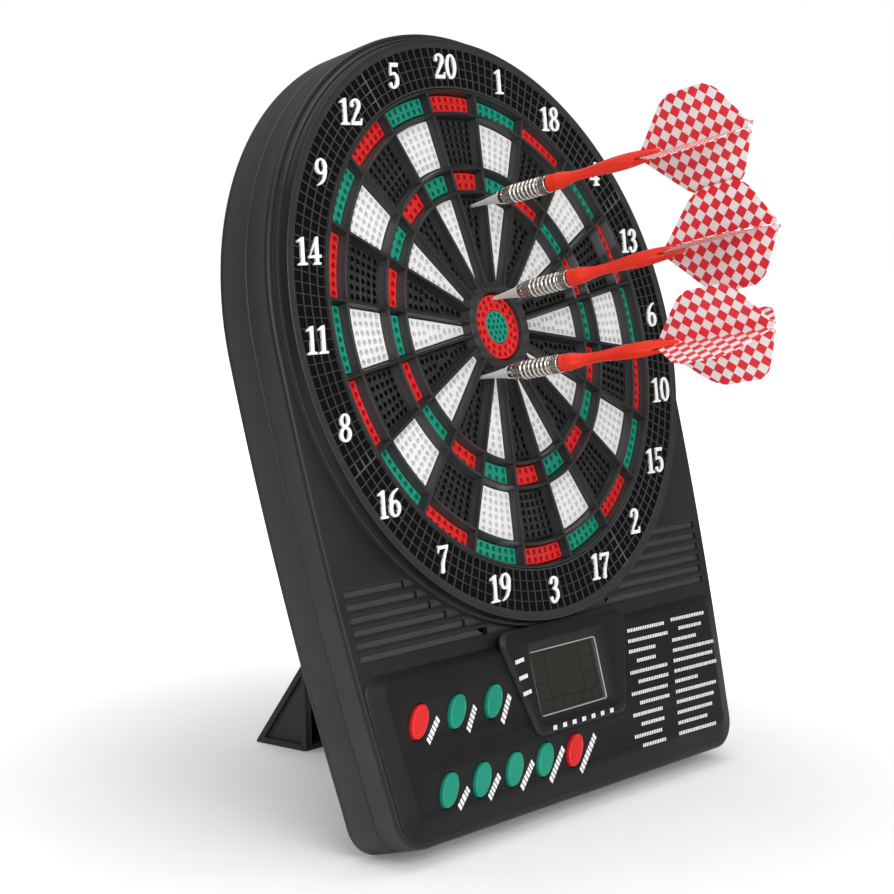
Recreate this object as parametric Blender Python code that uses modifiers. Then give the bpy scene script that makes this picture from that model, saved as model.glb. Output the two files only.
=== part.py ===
"""Small electronic dartboard for soft-tip darts, leaning back on its rear leg, with three darts in it.

Most pieces are drawn in the board's own frame, in millimetres: X to the right, Y up the face and Z out
of the face, with the centre of the target at the origin and the top of the black web at Z = 0.
The empty "board_frame" then leans them back and stands them on the ground.
"""

import math

import bmesh
import bpy
from mathutils import Matrix, Vector

MM = 0.001
CLEARANCE = 0.3

# How the board stands.
LEAN = math.radians(15)
CENTRE_HEIGHT = 210.9
CENTRE_DEPTH = -1.225

# Case: an arch round the target, then sides that curve in to the bottom edge.
ARCH_RADIUS = 135.3
SIDE_CURVE = 3.4e-4
BOTTOM_Y = -208.6
CORNER_RADIUS = 15.0
FACE_Z = -6.8
SEAM_Z = -19.0
BACK_Z = -36.0
WALL = 2.4
SUPPORT_RADIUS = 104.0

# Target: the radii of the web's rings, and its walls.
BULL_CENTRE = 7.5
BULL_RADIUS = 15.3
BULL_RIM = 20.4
TRIPLE_INNER = 61.2
TRIPLE_OUTER = 72.3
DOUBLE_INNER = 97.0
TARGET_RADIUS = 108.0
WEB_HALF_WALL = 0.9
WEB_DEPTH = 8.0
NUMBERS = (20, 1, 18, 4, 13, 6, 10, 15, 2, 17, 3, 19, 7, 16, 8, 11, 14, 9, 12, 5)
SECTOR = math.radians(18)

# Scoring pads, on flanges behind the web.
PAD_TOP = -4.0
PAD_GAP = 0.7
FLANGE_TOP = -WEB_DEPTH - CLEARANCE
FLANGE_THICK = 1.2
FLANGE_BACK = FLANGE_TOP - FLANGE_THICK
PRESS = 0.8
MAT_TOP = FLANGE_BACK - PRESS - CLEARANCE
MAT_THICK = 1.2

# Number ring, which lies on the face of the case.
RING_INNER = 108.4
RING_RIM = 127.0
RING_TOP_OUTER = 130.8
RING_OUTER = 133.0

# Control panel.
PANEL_TOP_Y = -136.6
PANEL_Z = -3.4
PANEL_MARGIN = 2.5
PANEL_SLOPE = 9.0
DISPLAY_X = 0.0
DISPLAY_Y = -156.5
DISPLAY_WIDTH = 48.0
DISPLAY_HEIGHT = 28.2
HOOD_TOP_Y = -134.0
HOOD_BOTTOM_Y = -178.5
HOOD_TOP_HALF = 46.0
HOOD_BOTTOM_HALF = 34.5
HOOD_CORNER = 5.0
BUTTON_HALF_LENGTH = 8.0
BUTTON_HALF_WIDTH = 4.4
BUTTON_SLANT = math.radians(50)
BUTTON_TOP = -2.0
BUTTON_SKIRT = 1.6
BUTTON_TRAVEL = 1.2
BUTTON_SIDES = 28
BUTTONS = {
    "power": (-101.6, -158.4, "red"),
    "sound": (-77.4, -158.4, "teal"),
    "double": (-53.1, -158.4, "teal"),
    "game": (-91.8, -188.3, "teal"),
    "option": (-70.4, -188.3, "teal"),
    "player": (-48.6, -188.3, "teal"),
    "eliminate": (-27.3, -188.3, "teal"),
    "start": (-5.9, -188.3, "red"),
}

# Louvre grooves beside the target.
LOUVRE_COUNT = 6
LOUVRE_FIRST_Y = -102.5
LOUVRE_PITCH = 5.3
LOUVRE_HEIGHT = 2.6
LOUVRE_DEPTH = 1.4
LOUVRE_INSET = 5.8
LOUVRE_RADIUS = 136.0

# Battery box, in the back.
BATTERY_X = -50.0
BATTERY_Y = -150.0
BATTERY_RADIUS = 7.0
BATTERY_LENGTH = 50.0
BATTERY_PITCH = 15.0
BATTERY_BOX_TOP = -15.6
DOOR_WIDTH = 66.0
DOOR_HEIGHT = 40.0
DOOR_TRAVEL = 5.0

# Leg: its hinge on the back, and its foot, measured from the target's centre and the ground.
LEG_LEFT = 1.0
LEG_WIDTH = 30.0
LEG_WALL = 2.4
HINGE_Y = 107.0
HINGE_Z = BACK_Z - 6.0
PIN_RADIUS = 1.5
FOOT_TOE = (120.3, 0.0)
FOOT_HEEL = (154.5, 0.0)
FOOT_PEAK = (121.2, 41.4)
FOOT_KNEE = (109.5, 61.0)
ARM_THICK = 7.2
LUG_GAP = 1.0
LUG_THICK = 4.0
LUG_RADIUS = 4.5
BRACKET_THICK = 1.0
BRACKET_HALF = 7.0
KNUCKLE_RADIUS = 4.4

# Darts: where each tip enters the board, the way its axis points, and how its flight is turned.
TIP_HOLE = 1.9
TIP_DEPTH = 5.7
DART_BASE_Z = -2.9
BARREL_START = 16.7
SHAFT_START = 44.8
SHAFT_END = 106.0
FLIGHT_START = 93.4
DART_END = 151.5
DARTS = {
    "dart_1": {"at": (3.4, 55.5), "axis": (-0.052, -0.049, 0.997), "turn": 105, "pad": "segment_20"},
    "dart_2": {"at": (2.1, 12.9), "axis": (-0.016, -0.034, 0.999), "turn": 92, "pad": "bull_outer"},
    "dart_3": {"at": (-16.4, -21.5), "axis": (-0.015, -0.078, 0.997), "turn": 115, "pad": "segment_7"},
}


# ---------------------------------------------------------------- scene and helpers

for old_object in list(bpy.data.objects):
    bpy.data.objects.remove(old_object)

BOARD = bpy.data.collections.new("electronic_dartboard")
CUTTERS = bpy.data.collections.new("cutters")
bpy.context.scene.collection.children.link(BOARD)
bpy.context.scene.collection.children.link(CUTTERS)


def material(name, colour, roughness, metallic=0.0, transmission=0.0):
    """A plain Principled material."""
    result = bpy.data.materials.new(name)
    result.use_nodes = True
    shader = result.node_tree.nodes["Principled BSDF"]
    shader.inputs["Base Color"].default_value = (*colour, 1.0)
    shader.inputs["Roughness"].default_value = roughness
    shader.inputs["Metallic"].default_value = metallic
    shader.inputs["Transmission Weight"].default_value = transmission
    result.diffuse_color = (*colour, 1.0)
    return result


LOOKS = {
    "case": material("case_black", (0.018, 0.018, 0.020), 0.42),
    "web": material("web_black", (0.022, 0.022, 0.024), 0.38),
    "ring": material("ring_black", (0.010, 0.010, 0.011), 0.5),
    "red": material("plastic_red", (0.72, 0.035, 0.035), 0.4),
    "teal": material("plastic_teal", (0.015, 0.36, 0.28), 0.4),
    "white": material("pad_white", (0.85, 0.85, 0.84), 0.45),
    "black": material("pad_black", (0.02, 0.02, 0.02), 0.5),
    "rubber": material("rubber_grey", (0.06, 0.06, 0.06), 0.85),
    "green": material("circuit_green", (0.01, 0.12, 0.05), 0.5),
    "glass": material("lens_clear", (0.30, 0.33, 0.27), 0.08, 0.0, 0.3),
    "lcd": material("lcd_olive", (0.13, 0.15, 0.10), 0.25),
    "steel": material("steel", (0.55, 0.55, 0.55), 0.3, 1.0),
    "nickel": material("nickel", (0.45, 0.42, 0.40), 0.25, 1.0),
    "orange": material("shaft_orange", (0.85, 0.07, 0.03), 0.25),
    "tip": material("tip_white", (0.82, 0.82, 0.78), 0.4),
    "flight": material("flight_checked", (0.85, 0.35, 0.37), 0.35),
    "battery": material("battery_blue", (0.03, 0.08, 0.30), 0.35),
}


def arc(centre_x, centre_y, radius, start, end, steps):
    """Points along an arc; the angles are in degrees."""
    angles = [math.radians(start + (end - start) * i / steps) for i in range(steps + 1)]
    return [(centre_x + radius * math.cos(a), centre_y + radius * math.sin(a)) for a in angles]


def rounded_box(x0, x1, y0, y1, radius, steps=4):
    """A rectangle with round corners, anticlockwise."""
    points = []
    points += arc(x1 - radius, y0 + radius, radius, -90, 0, steps)
    points += arc(x1 - radius, y1 - radius, radius, 0, 90, steps)
    points += arc(x0 + radius, y1 - radius, radius, 90, 180, steps)
    points += arc(x0 + radius, y0 + radius, radius, 180, 270, steps)
    return points


def side_x(y):
    """Half the width of the case at a height below the target's centre."""
    return ARCH_RADIUS - SIDE_CURVE * y * y


def right_side(inset, top_y):
    """The right edge of the case from the bottom middle up to top_y, moved inwards."""
    corner_y = BOTTOM_Y + CORNER_RADIUS
    slope = math.atan(-2 * SIDE_CURVE * corner_y)
    corner_x = side_x(corner_y) - CORNER_RADIUS * math.cos(slope)
    radius = max(CORNER_RADIUS - inset, 1.0)
    points = arc(corner_x, corner_y, radius, -90, -math.degrees(slope), 6)
    start_y = points[-1][1]
    for step in range(1, 7):
        y = start_y + (top_y - start_y) * step / 6
        points.append((side_x(y) - inset, y))
    return points


def case_outline(inset):
    """The outline of the case, moved inwards, anticlockwise from the bottom right corner."""
    right = right_side(inset, 0.0)
    left = [(-x, y) for x, y in reversed(right)]
    top = arc(0, 0, ARCH_RADIUS - inset, 0, 180, 30)
    return right[:-1] + top + left[1:]


def panel_outline(inset_side, top_y, corner):
    """The control panel's outline: the case's lower edge, closed by a level top edge."""
    right = right_side(inset_side, top_y - corner)
    top_x = right[-1][0]
    right = right[:-1] + arc(top_x - corner, top_y - corner, corner, 0, 90, 4)
    left = [(-x, y) for x, y in reversed(right)]
    return right + left


def put_in_frame(name, mesh, look, origin=(0, 0, 0), turn=0.0, collection=BOARD):
    """Make a node from a mesh drawn in the board's frame, with its origin at a point given in mm."""
    mesh.name = name
    result = bpy.data.objects.new(name, mesh)
    collection.objects.link(result)
    offset = Vector(origin) * MM
    mesh.transform(Matrix.Translation(-offset))
    result.parent = FRAME
    result.location = Matrix.Rotation(turn, 3, "Z") @ offset
    result.rotation_euler = (0, 0, turn)
    mesh.materials.clear()
    if look:
        mesh.materials.append(LOOKS[look])
    if collection is CUTTERS:
        result.hide_render = True
        result.display_type = "WIRE"
    return result


def plate(loops, z_low, z_high):
    """A flat plate: the first loop is its outline and the others are holes. Returns a mesh in metres."""
    curve = bpy.data.curves.new("plate", "CURVE")
    curve.dimensions = "2D"
    curve.fill_mode = "BOTH"
    curve.extrude = (z_high - z_low) / 2 * MM
    for loop in loops:
        spline = curve.splines.new("POLY")
        spline.points.add(len(loop) - 1)
        for point, (x, y) in zip(spline.points, loop):
            point.co = (x * MM, y * MM, 0, 1)
        spline.use_cyclic_u = True
    holder = bpy.data.objects.new("plate", curve)
    CUTTERS.objects.link(holder)
    bpy.context.view_layer.update()
    mesh = bpy.data.meshes.new_from_object(holder)
    bpy.data.objects.remove(holder)
    work = bmesh.new()
    work.from_mesh(mesh)
    bmesh.ops.remove_doubles(work, verts=work.verts, dist=1e-6)
    bmesh.ops.recalc_face_normals(work, faces=work.faces)
    bmesh.ops.translate(work, verts=work.verts, vec=(0, 0, (z_low + z_high) / 2 * MM))
    work.to_mesh(mesh)
    work.free()
    return mesh


def loft(loops):
    """A closed solid through outlines of equal length, each a list of (x, y, z) in mm."""
    work = bmesh.new()
    rings = [[work.verts.new(Vector(point) * MM) for point in loop] for loop in loops]
    count = len(rings[0])
    for low, high in zip(rings, rings[1:]):
        for i in range(count):
            j = (i + 1) % count
            work.faces.new((low[i], low[j], high[j], high[i]))
    work.faces.new(list(reversed(rings[0])))
    work.faces.new(rings[-1])
    bmesh.ops.recalc_face_normals(work, faces=work.faces)
    mesh = bpy.data.meshes.new("loft")
    work.to_mesh(mesh)
    work.free()
    return mesh


def box(x0, x1, y0, y1, z0, z1):
    """A box between corners given in mm."""
    work = bmesh.new()
    bmesh.ops.create_cube(work, size=1.0)
    size = Vector((x1 - x0, y1 - y0, z1 - z0)) * MM
    middle = Vector((x0 + x1, y0 + y1, z0 + z1)) * MM / 2
    for vert in work.verts:
        vert.co = Vector([c * s for c, s in zip(vert.co, size)]) + middle
    mesh = bpy.data.meshes.new("box")
    work.to_mesh(mesh)
    work.free()
    return mesh


def cylinder(x, y, radius, z0, z1, sides=24, along="Z"):
    """A cylinder in mm, along Z, or along X with x0 and x1 given in place of z0 and z1."""
    work = bmesh.new()
    bmesh.ops.create_cone(
        work, cap_ends=True, segments=sides, radius1=radius * MM, radius2=radius * MM, depth=(z1 - z0) * MM
    )
    if along == "X":
        bmesh.ops.rotate(work, verts=work.verts, matrix=Matrix.Rotation(math.pi / 2, 3, "Y"))
        shift = Vector(((z0 + z1) / 2, x, y)) * MM
    else:
        shift = Vector((x, y, (z0 + z1) / 2)) * MM
    bmesh.ops.translate(work, verts=work.verts, vec=shift)
    mesh = bpy.data.meshes.new("cylinder")
    work.to_mesh(mesh)
    work.free()
    return mesh


def turned(profile):
    """The profile of a turned shape: a closed ring, or a line that ends on the axis, as (radius, z) in mm."""
    mesh = bpy.data.meshes.new("turned")
    vertices = [(r * MM, 0, z * MM) for r, z in profile]
    edges = [(i, i + 1) for i in range(len(profile) - 1)]
    if profile[0][0] > 0:
        edges.append((len(profile) - 1, 0))
    mesh.from_pydata(vertices, edges, [])
    return mesh


def spin(node, steps):
    """Turn a node's profile about its own Z."""
    screw = node.modifiers.new("screw", "SCREW")
    screw.axis = "Z"
    screw.steps = steps
    screw.render_steps = steps
    screw.use_merge_vertices = True
    screw.merge_threshold = 1e-5
    screw.use_smooth_shade = True


def boolean(node, mesh, operation="DIFFERENCE"):
    """Cut a mesh from a node, or join it on, with an exact Boolean."""
    cutter = put_in_frame(node.name + "_cutter", mesh, None, collection=CUTTERS)
    modifier = node.modifiers.new(operation.lower(), "BOOLEAN")
    modifier.operation = operation
    modifier.solver = "EXACT"
    modifier.object = cutter
    return cutter


def soften(node, z_level, width, segments):
    """Round the edges of a node that lie at one Z, in mm, in the board's frame."""
    mesh = node.data
    weights = mesh.attributes.new("bevel_weight_edge", "FLOAT", "EDGE")
    borders = {}
    for face in mesh.polygons:
        flat = abs(face.normal.z) > 0.9
        for key in face.edge_keys:
            borders.setdefault(key, []).append(flat)
    for edge in mesh.edges:
        level = all(abs(mesh.vertices[v].co.z - z_level * MM) < 1e-6 for v in edge.vertices)
        if level and sum(borders[edge.key]) == 1:
            weights.data[edge.index].value = 1.0
    bevel = node.modifiers.new("round", "BEVEL")
    bevel.limit_method = "WEIGHT"
    bevel.width = width * MM
    bevel.segments = segments


FRAME = bpy.data.objects.new("board_frame", None)
BOARD.objects.link(FRAME)
FRAME.location = (0, CENTRE_DEPTH * MM, CENTRE_HEIGHT * MM)
FRAME.rotation_euler = (math.pi / 2 - LEAN, 0, 0)


# ---------------------------------------------------------------- case

def grooves():
    """The six louvre grooves on each side, as one cutter for each groove."""
    for row in range(LOUVRE_COUNT):
        y = LOUVRE_FIRST_Y - LOUVRE_PITCH * row
        inner_x = math.sqrt(LOUVRE_RADIUS ** 2 - y * y)
        for side in (-1, 1):
            x0, x1 = sorted((side * inner_x, side * (side_x(y) - LOUVRE_INSET)))
            y0 = y - LOUVRE_HEIGHT / 2
            yield box(x0, x1, y0, y0 + LOUVRE_HEIGHT, FACE_Z - LOUVRE_DEPTH, FACE_Z + 1)


def make_front_shell():
    """Front half of the case: face, raised control panel, grooves and openings."""
    shell = put_in_frame("front_shell", plate([case_outline(0)], SEAM_Z, FACE_Z), "case")
    soften(shell, FACE_Z, 1.2, 2)
    outer = panel_outline(PANEL_MARGIN, PANEL_TOP_Y, 8.0)
    inner = panel_outline(PANEL_MARGIN + PANEL_SLOPE, PANEL_TOP_Y - 3.0, 4.0)
    low = [(x, y, FACE_Z - 1.0) for x, y in outer]
    foot = [(x, y, FACE_Z + 0.6) for x, y in outer]
    high = [(x, y, PANEL_Z) for x, y in inner]
    boolean(shell, loft([low, foot, high]), "UNION")
    boolean(shell, plate([case_outline(WALL)], SEAM_Z - 1, FACE_Z - WALL))
    boolean(shell, cylinder(0, 0, 112.0, FACE_Z - WALL - 1, FACE_Z + 1, 60))
    half_width = DISPLAY_WIDTH / 2 + 1
    half_height = DISPLAY_HEIGHT / 2 + 1
    window = box(
        DISPLAY_X - half_width, DISPLAY_X + half_width,
        DISPLAY_Y - half_height, DISPLAY_Y + half_height,
        FACE_Z - WALL - 1, PANEL_Z + 1,
    )
    boolean(shell, window)
    for x, y, _ in BUTTONS.values():
        boolean(shell, plate([button_outline(x, y, CLEARANCE)], FACE_Z - WALL - 1, PANEL_Z + 1))
    for groove in grooves():
        boolean(shell, groove)
    return shell


def make_rear_shell():
    """Rear half of the case, with the battery box and the rim that backs the target."""
    top = SEAM_Z - CLEARANCE
    shell = put_in_frame("rear_shell", plate([case_outline(0)], BACK_Z, top), "case")
    soften(shell, BACK_Z, 2.0, 2)
    boolean(shell, plate([case_outline(WALL)], BACK_Z + WALL, top + 1))
    rim = [arc(0, 0, radius, 0, 354, 59) for radius in (SUPPORT_RADIUS, SUPPORT_RADIUS - WALL)]
    boolean(shell, plate(rim, BACK_Z + 1, MAT_TOP - MAT_THICK - CLEARANCE), "UNION")
    outer = battery_outline(WALL)
    inner = battery_outline(0)
    boolean(shell, plate([outer, inner], BACK_Z + 1, BATTERY_BOX_TOP), "UNION")
    half_width = DOOR_WIDTH / 2
    half_height = DOOR_HEIGHT / 2
    door_cut = box(
        BATTERY_X - half_width - CLEARANCE, BATTERY_X + half_width + CLEARANCE,
        BATTERY_Y - half_height - CLEARANCE, BATTERY_Y + half_height + CLEARANCE + DOOR_TRAVEL,
        BACK_Z - 1, BACK_Z + 1.5,
    )
    boolean(shell, door_cut)
    boolean(shell, plate([inner], BACK_Z - 1, BACK_Z + WALL + 1))


def battery_outline(grow):
    """The battery box's inside, made larger by its wall."""
    half_x = BATTERY_LENGTH / 2 + 3 + grow
    half_y = BATTERY_PITCH + 1.5 + grow
    return [
        (BATTERY_X - half_x, BATTERY_Y - half_y),
        (BATTERY_X + half_x, BATTERY_Y - half_y),
        (BATTERY_X + half_x, BATTERY_Y + half_y),
        (BATTERY_X - half_x, BATTERY_Y + half_y),
    ]


# ---------------------------------------------------------------- target

def cell(inner, outer, gap):
    """The outline of one web cell or pad between two radii, centred on the top of the target."""
    half_wall = WEB_HALF_WALL + gap
    low = inner + gap
    high = outer - gap
    low_angle = SECTOR / 2 - math.asin(half_wall / low)
    high_angle = SECTOR / 2 - math.asin(half_wall / high)
    steps_low = 2 if low > TRIPLE_INNER else 1
    outside = arc(0, 0, high, 90 - math.degrees(high_angle), 90 + math.degrees(high_angle), 2)
    inside = arc(0, 0, low, 90 + math.degrees(low_angle), 90 - math.degrees(low_angle), steps_low)
    return outside + inside


CELLS = (
    (BULL_RIM, TRIPLE_INNER - WEB_HALF_WALL),
    (TRIPLE_INNER + WEB_HALF_WALL, TRIPLE_OUTER - WEB_HALF_WALL),
    (TRIPLE_OUTER + WEB_HALF_WALL, DOUBLE_INNER - WEB_HALF_WALL),
    (DOUBLE_INNER + WEB_HALF_WALL, TARGET_RADIUS - 1.4),
)


def rotated(points, angle):
    """Points turned about the target's centre."""
    cosine = math.cos(angle)
    sine = math.sin(angle)
    return [(x * cosine - y * sine, x * sine + y * cosine) for x, y in points]


def make_spider():
    """The black web: one plate with a hole for each pad."""
    loops = [arc(0, 0, TARGET_RADIUS, 0, 354, 59), arc(0, 0, BULL_RADIUS, 0, 345, 23)]
    for index in range(len(NUMBERS)):
        for inner, outer in CELLS:
            loops.append(rotated(cell(inner, outer, 0), -SECTOR * index))
    return put_in_frame("spider", plate(loops, -WEB_DEPTH, 0), "web")


def make_segments():
    """Twenty sector pieces, each a flange with the number's four pads on it."""
    edge = math.radians(90) - SECTOR / 2
    flange_low = 20.2
    flange_high = TARGET_RADIUS - 0.8
    low = math.degrees(edge + math.asin(CLEARANCE / flange_low))
    high = math.degrees(edge + math.asin(CLEARANCE / flange_high))
    flange = arc(0, 0, flange_high, high, 180 - high, 4) + arc(0, 0, flange_low, 180 - low, low, 2)
    for index, number in enumerate(NUMBERS):
        look = "black" if index % 2 == 0 else "white"
        turn = -SECTOR * index
        mesh = plate([flange], FLANGE_BACK, FLANGE_TOP)
        node = put_in_frame(f"segment_{number}", mesh, look, turn=turn)
        for inner, outer in CELLS:
            pad = boolean(node, plate([cell(inner, outer, PAD_GAP)], FLANGE_TOP - 0.4, PAD_TOP), "UNION")
            pad.rotation_euler = (0, 0, turn)


def make_bull():
    """The bull's outer ring pad and its centre pad."""
    pad = BULL_RADIUS - PAD_GAP
    flange = BULL_RIM - 1.0
    hole = BULL_CENTRE + CLEARANCE
    ring = [
        (pad, PAD_TOP), (pad, FLANGE_TOP), (flange, FLANGE_TOP), (flange, FLANGE_BACK), (hole, FLANGE_BACK),
        (hole, PAD_TOP),
    ]
    disc = BULL_CENTRE - CLEARANCE
    centre = [(0, PAD_TOP), (disc, PAD_TOP), (disc, FLANGE_BACK), (0, FLANGE_BACK)]
    for name, profile, look in (("bull_outer", ring, "red"), ("bull_inner", centre, "teal")):
        spin(put_in_frame(name, turned(profile), look), 24)


def make_number_ring():
    """The ring with the raised rim that lies on the face round the target."""
    bottom = FACE_Z + CLEARANCE
    profile = [
        (RING_TOP_OUTER, 0), (RING_TOP_OUTER + 0.4, -3.8), (RING_OUTER - 0.4, -4.2), (RING_OUTER, bottom),
        (RING_INNER, bottom), (RING_INNER, -0.9), (RING_RIM, -0.9), (RING_RIM, 0),
    ]
    spin(put_in_frame("number_ring", turned(profile), "ring"), 60)


def make_sensor_mat():
    """The printed switch mat behind the pads, with its tail down to the circuit board."""
    disc = arc(0, 0, 109, -85, 265, 50)
    tail = [(-9.5, -124), (9.5, -124)]
    put_in_frame("sensor_mat", plate([disc + tail], MAT_TOP - MAT_THICK, MAT_TOP), "rubber")


# ---------------------------------------------------------------- control panel

def make_display():
    """The raised hood, the clear window in it, and the display behind them."""
    left, right = DISPLAY_X - DISPLAY_WIDTH / 2, DISPLAY_X + DISPLAY_WIDTH / 2
    low, high = DISPLAY_Y - DISPLAY_HEIGHT / 2, DISPLAY_Y + DISPLAY_HEIGHT / 2
    base = PANEL_Z + CLEARANCE
    outline = hood_outline(0.0)
    upper = hood_outline(2.0)
    hood = put_in_frame("lcd_bezel", loft([
        [(x, y, base) for x, y in outline],
        [(x, y, base + 1.2) for x, y in outline],
        [(x, y, -0.7) for x, y in upper],
    ]), "case")
    boolean(hood, box(left, right, low, high, base - 1, 1))
    lens = box(left + CLEARANCE, right - CLEARANCE, low + CLEARANCE, high - CLEARANCE, -4.6, -2.6)
    put_in_frame("lcd_lens", lens, "glass")
    put_in_frame("lcd_module", box(left - 0.5, right + 0.5, low - 0.5, high + 0.5, -8.6, -5.0), "lcd")


def hood_outline(inset):
    """The hood's trapezoid with round corners: wide at the top, narrow at the bottom."""
    radius = HOOD_CORNER
    top_x = HOOD_TOP_HALF - inset - radius
    bottom_x = HOOD_BOTTOM_HALF - inset - radius
    right = arc(DISPLAY_X + bottom_x, HOOD_BOTTOM_Y + inset + radius, radius, -90, -12, 4)
    right += arc(DISPLAY_X + top_x, HOOD_TOP_Y - inset - radius, radius, -12, 90, 5)
    return right + [(2 * DISPLAY_X - x, y) for x, y in reversed(right)]


def button_outline(x, y, grow):
    """A slanted oval round a button's centre, made larger by grow."""
    half_length, half_width = BUTTON_HALF_LENGTH + grow, BUTTON_HALF_WIDTH + grow
    points = []
    for step in range(BUTTON_SIDES):
        angle = 2 * math.pi * step / BUTTON_SIDES
        point = Vector((half_length * math.cos(angle), half_width * math.sin(angle)))
        points.append(Matrix.Rotation(BUTTON_SLANT, 2) @ point + Vector((x, y)))
    return points


def make_buttons():
    """Eight oval push buttons with a flange under the panel."""
    under = FACE_Z - WALL - CLEARANCE
    levels = [
        (BUTTON_SKIRT, under - 1.0), (BUTTON_SKIRT, under), (0, under), (0, BUTTON_TOP - 0.9),
        (-0.5, BUTTON_TOP - 0.2), (-1.4, BUTTON_TOP),
    ]
    for name, (x, y, look) in BUTTONS.items():
        loops = [[(px, py, z) for px, py in button_outline(x, y, grow)] for grow, z in levels]
        put_in_frame("button_" + name, loft(loops), look, origin=(x, y, BUTTON_TOP))


def make_electronics():
    """Rubber button pad, circuit board and speaker."""
    under = FACE_Z - WALL - CLEARANCE - 1.0 - BUTTON_TRAVEL - CLEARANCE
    put_in_frame("button_pad", plate([rounded_box(-112, 4, -200, -149, 4)], under - 1.2, under), "rubber")
    board_top = under - 1.2 - CLEARANCE
    circuit = [(-112, -200), (100, -200), (108, -145), (-112, -145)]
    put_in_frame("main_board", plate([circuit], board_top - 1.6, board_top), "green")
    cone = [(0, -10.4), (17, -10.4), (18, -11.4), (18, -13), (9, -16), (9, -18.5), (0, -18.5)]
    speaker = put_in_frame("speaker", turned(cone), "steel")
    speaker.location = Vector((92, -122, 0)) * MM
    spin(speaker, 24)


def make_batteries():
    """Two cells and the door that slides up off them."""
    half_length = BATTERY_LENGTH / 2
    centre_z = BACK_Z + WALL + BATTERY_RADIUS - 0.4
    for index, side in enumerate((-1, 1)):
        y = BATTERY_Y + side * BATTERY_PITCH / 2
        ends = (BATTERY_X - half_length, BATTERY_X + half_length)
        mesh = cylinder(y, centre_z, BATTERY_RADIUS, *ends, 20, "X")
        put_in_frame(f"battery_{index + 1}", mesh, "battery")
    half_width = DOOR_WIDTH / 2
    half_height = DOOR_HEIGHT / 2
    door = box(
        BATTERY_X - half_width, BATTERY_X + half_width,
        BATTERY_Y - half_height, BATTERY_Y + half_height,
        BACK_Z, BACK_Z + 1.5 - CLEARANCE,
    )
    put_in_frame("battery_door", door, "case")


# ---------------------------------------------------------------- leg and foot

def to_board(depth, height):
    """A point given by its world depth behind the target's centre and its height, as board (y, z)."""
    up = height - CENTRE_HEIGHT
    y = depth * math.sin(LEAN) + up * math.cos(LEAN)
    z = -depth * math.cos(LEAN) + up * math.sin(LEAN)
    return y, z


def leg_lines():
    """The hinge, the back of the knee, the arm's direction, and the direction out through its back."""
    hinge = Vector((HINGE_Y, HINGE_Z))
    knee = Vector(to_board(*FOOT_KNEE))
    along = (knee - hinge).normalized()
    across = Vector((-along.y, along.x))
    return hinge, knee, along, across


def leg_block(outline, x0, x1):
    """A block across the leg, from its side outline in board (y, z)."""
    return loft([[(x, y, z) for y, z in outline] for x in (x0, x1)])


def make_leg_bracket():
    """The bracket on the back: a thin plate with two lugs that hold the leg's pin."""
    left, right = LEG_LEFT - LUG_GAP - LUG_THICK, LEG_LEFT + LEG_WIDTH + LUG_GAP
    plate_top = BACK_Z - CLEARANCE
    plate_back = plate_top - BRACKET_THICK
    low, high = HINGE_Y - BRACKET_HALF, HINGE_Y + BRACKET_HALF
    plate_solid = box(left, right + LUG_THICK, low, high, plate_back, plate_top)
    bracket = put_in_frame("leg_bracket", plate_solid, "case")
    outline = [(low, plate_top), (high, plate_top)] + arc(HINGE_Y, HINGE_Z, LUG_RADIUS, 30, -210, 8)
    for x in (left, right):
        boolean(bracket, leg_block(outline, x, x + LUG_THICK), "UNION")
    bore_ends = (left - 3, right + LUG_THICK + 3)
    boolean(bracket, cylinder(HINGE_Y, HINGE_Z, PIN_RADIUS + CLEARANCE, *bore_ends, 16, "X"))


def make_leg():
    """The fold-out leg, a channel open towards the board, and its hinge pin."""
    x0, x1 = LEG_LEFT, LEG_LEFT + LEG_WIDTH
    hinge, knee, along, across = leg_lines()
    half = ARM_THICK / 2
    outline = [
        hinge - across * half, knee - across * ARM_THICK, to_board(*FOOT_PEAK), to_board(*FOOT_TOE),
        to_board(*FOOT_HEEL), knee, hinge + across * half,
    ]
    pivot = ((x0 + x1) / 2, HINGE_Y, HINGE_Z)
    leg = put_in_frame("stand_leg", leg_block(outline, x0, x1), "case", origin=pivot)
    boolean(leg, cylinder(HINGE_Y, HINGE_Z, KNUCKLE_RADIUS, x0, x1, 20, "X"), "UNION")
    inside = (x0 + LEG_WALL, x1 - LEG_WALL)
    start = hinge + along * 14
    end = knee - along * 12
    channel = [
        start - across * 9, end - across * 12, end - across * LEG_WALL, start + across * (half - LEG_WALL),
    ]
    boolean(leg, leg_block(channel, *inside))
    depth, height = FOOT_PEAK
    hollow = [to_board(*point) for point in (
        (depth - 9, 4.2), (FOOT_HEEL[0] - 6.5, 4.2), (depth + 0.4, height - 1), (depth - 9, height - 1),
    )]
    boolean(leg, leg_block(hollow, *inside))
    boolean(leg, cylinder(HINGE_Y, HINGE_Z, PIN_RADIUS + CLEARANCE, x0 - 2, x1 + 2, 16, "X"))
    pin = cylinder(HINGE_Y, HINGE_Z, PIN_RADIUS, x0 - 5, x1 + 5, 12, "X")
    put_in_frame("stand_pin", pin, "steel")


def make_rubber_foot():
    """The strip under the lower rear edge; its underside is level with the ground."""
    front = to_board(*ground_point(BACK_Z + 8.5))
    back = to_board(*ground_point(BACK_Z + 3.5))
    top = BOTTOM_Y - CLEARANCE
    outline = [(top, front[1]), front, back, (top, back[1])]
    put_in_frame("rubber_foot", loft([[(x, y, z) for y, z in outline] for x in (-88, 88)]), "rubber")


def ground_point(z):
    """The world depth and height of the ground under the case's bottom edge at a board Z."""
    y = (-CENTRE_HEIGHT - z * math.sin(LEAN)) / math.cos(LEAN)
    return y * math.sin(LEAN) - z * math.cos(LEAN), 0.0


# ---------------------------------------------------------------- darts

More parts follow.
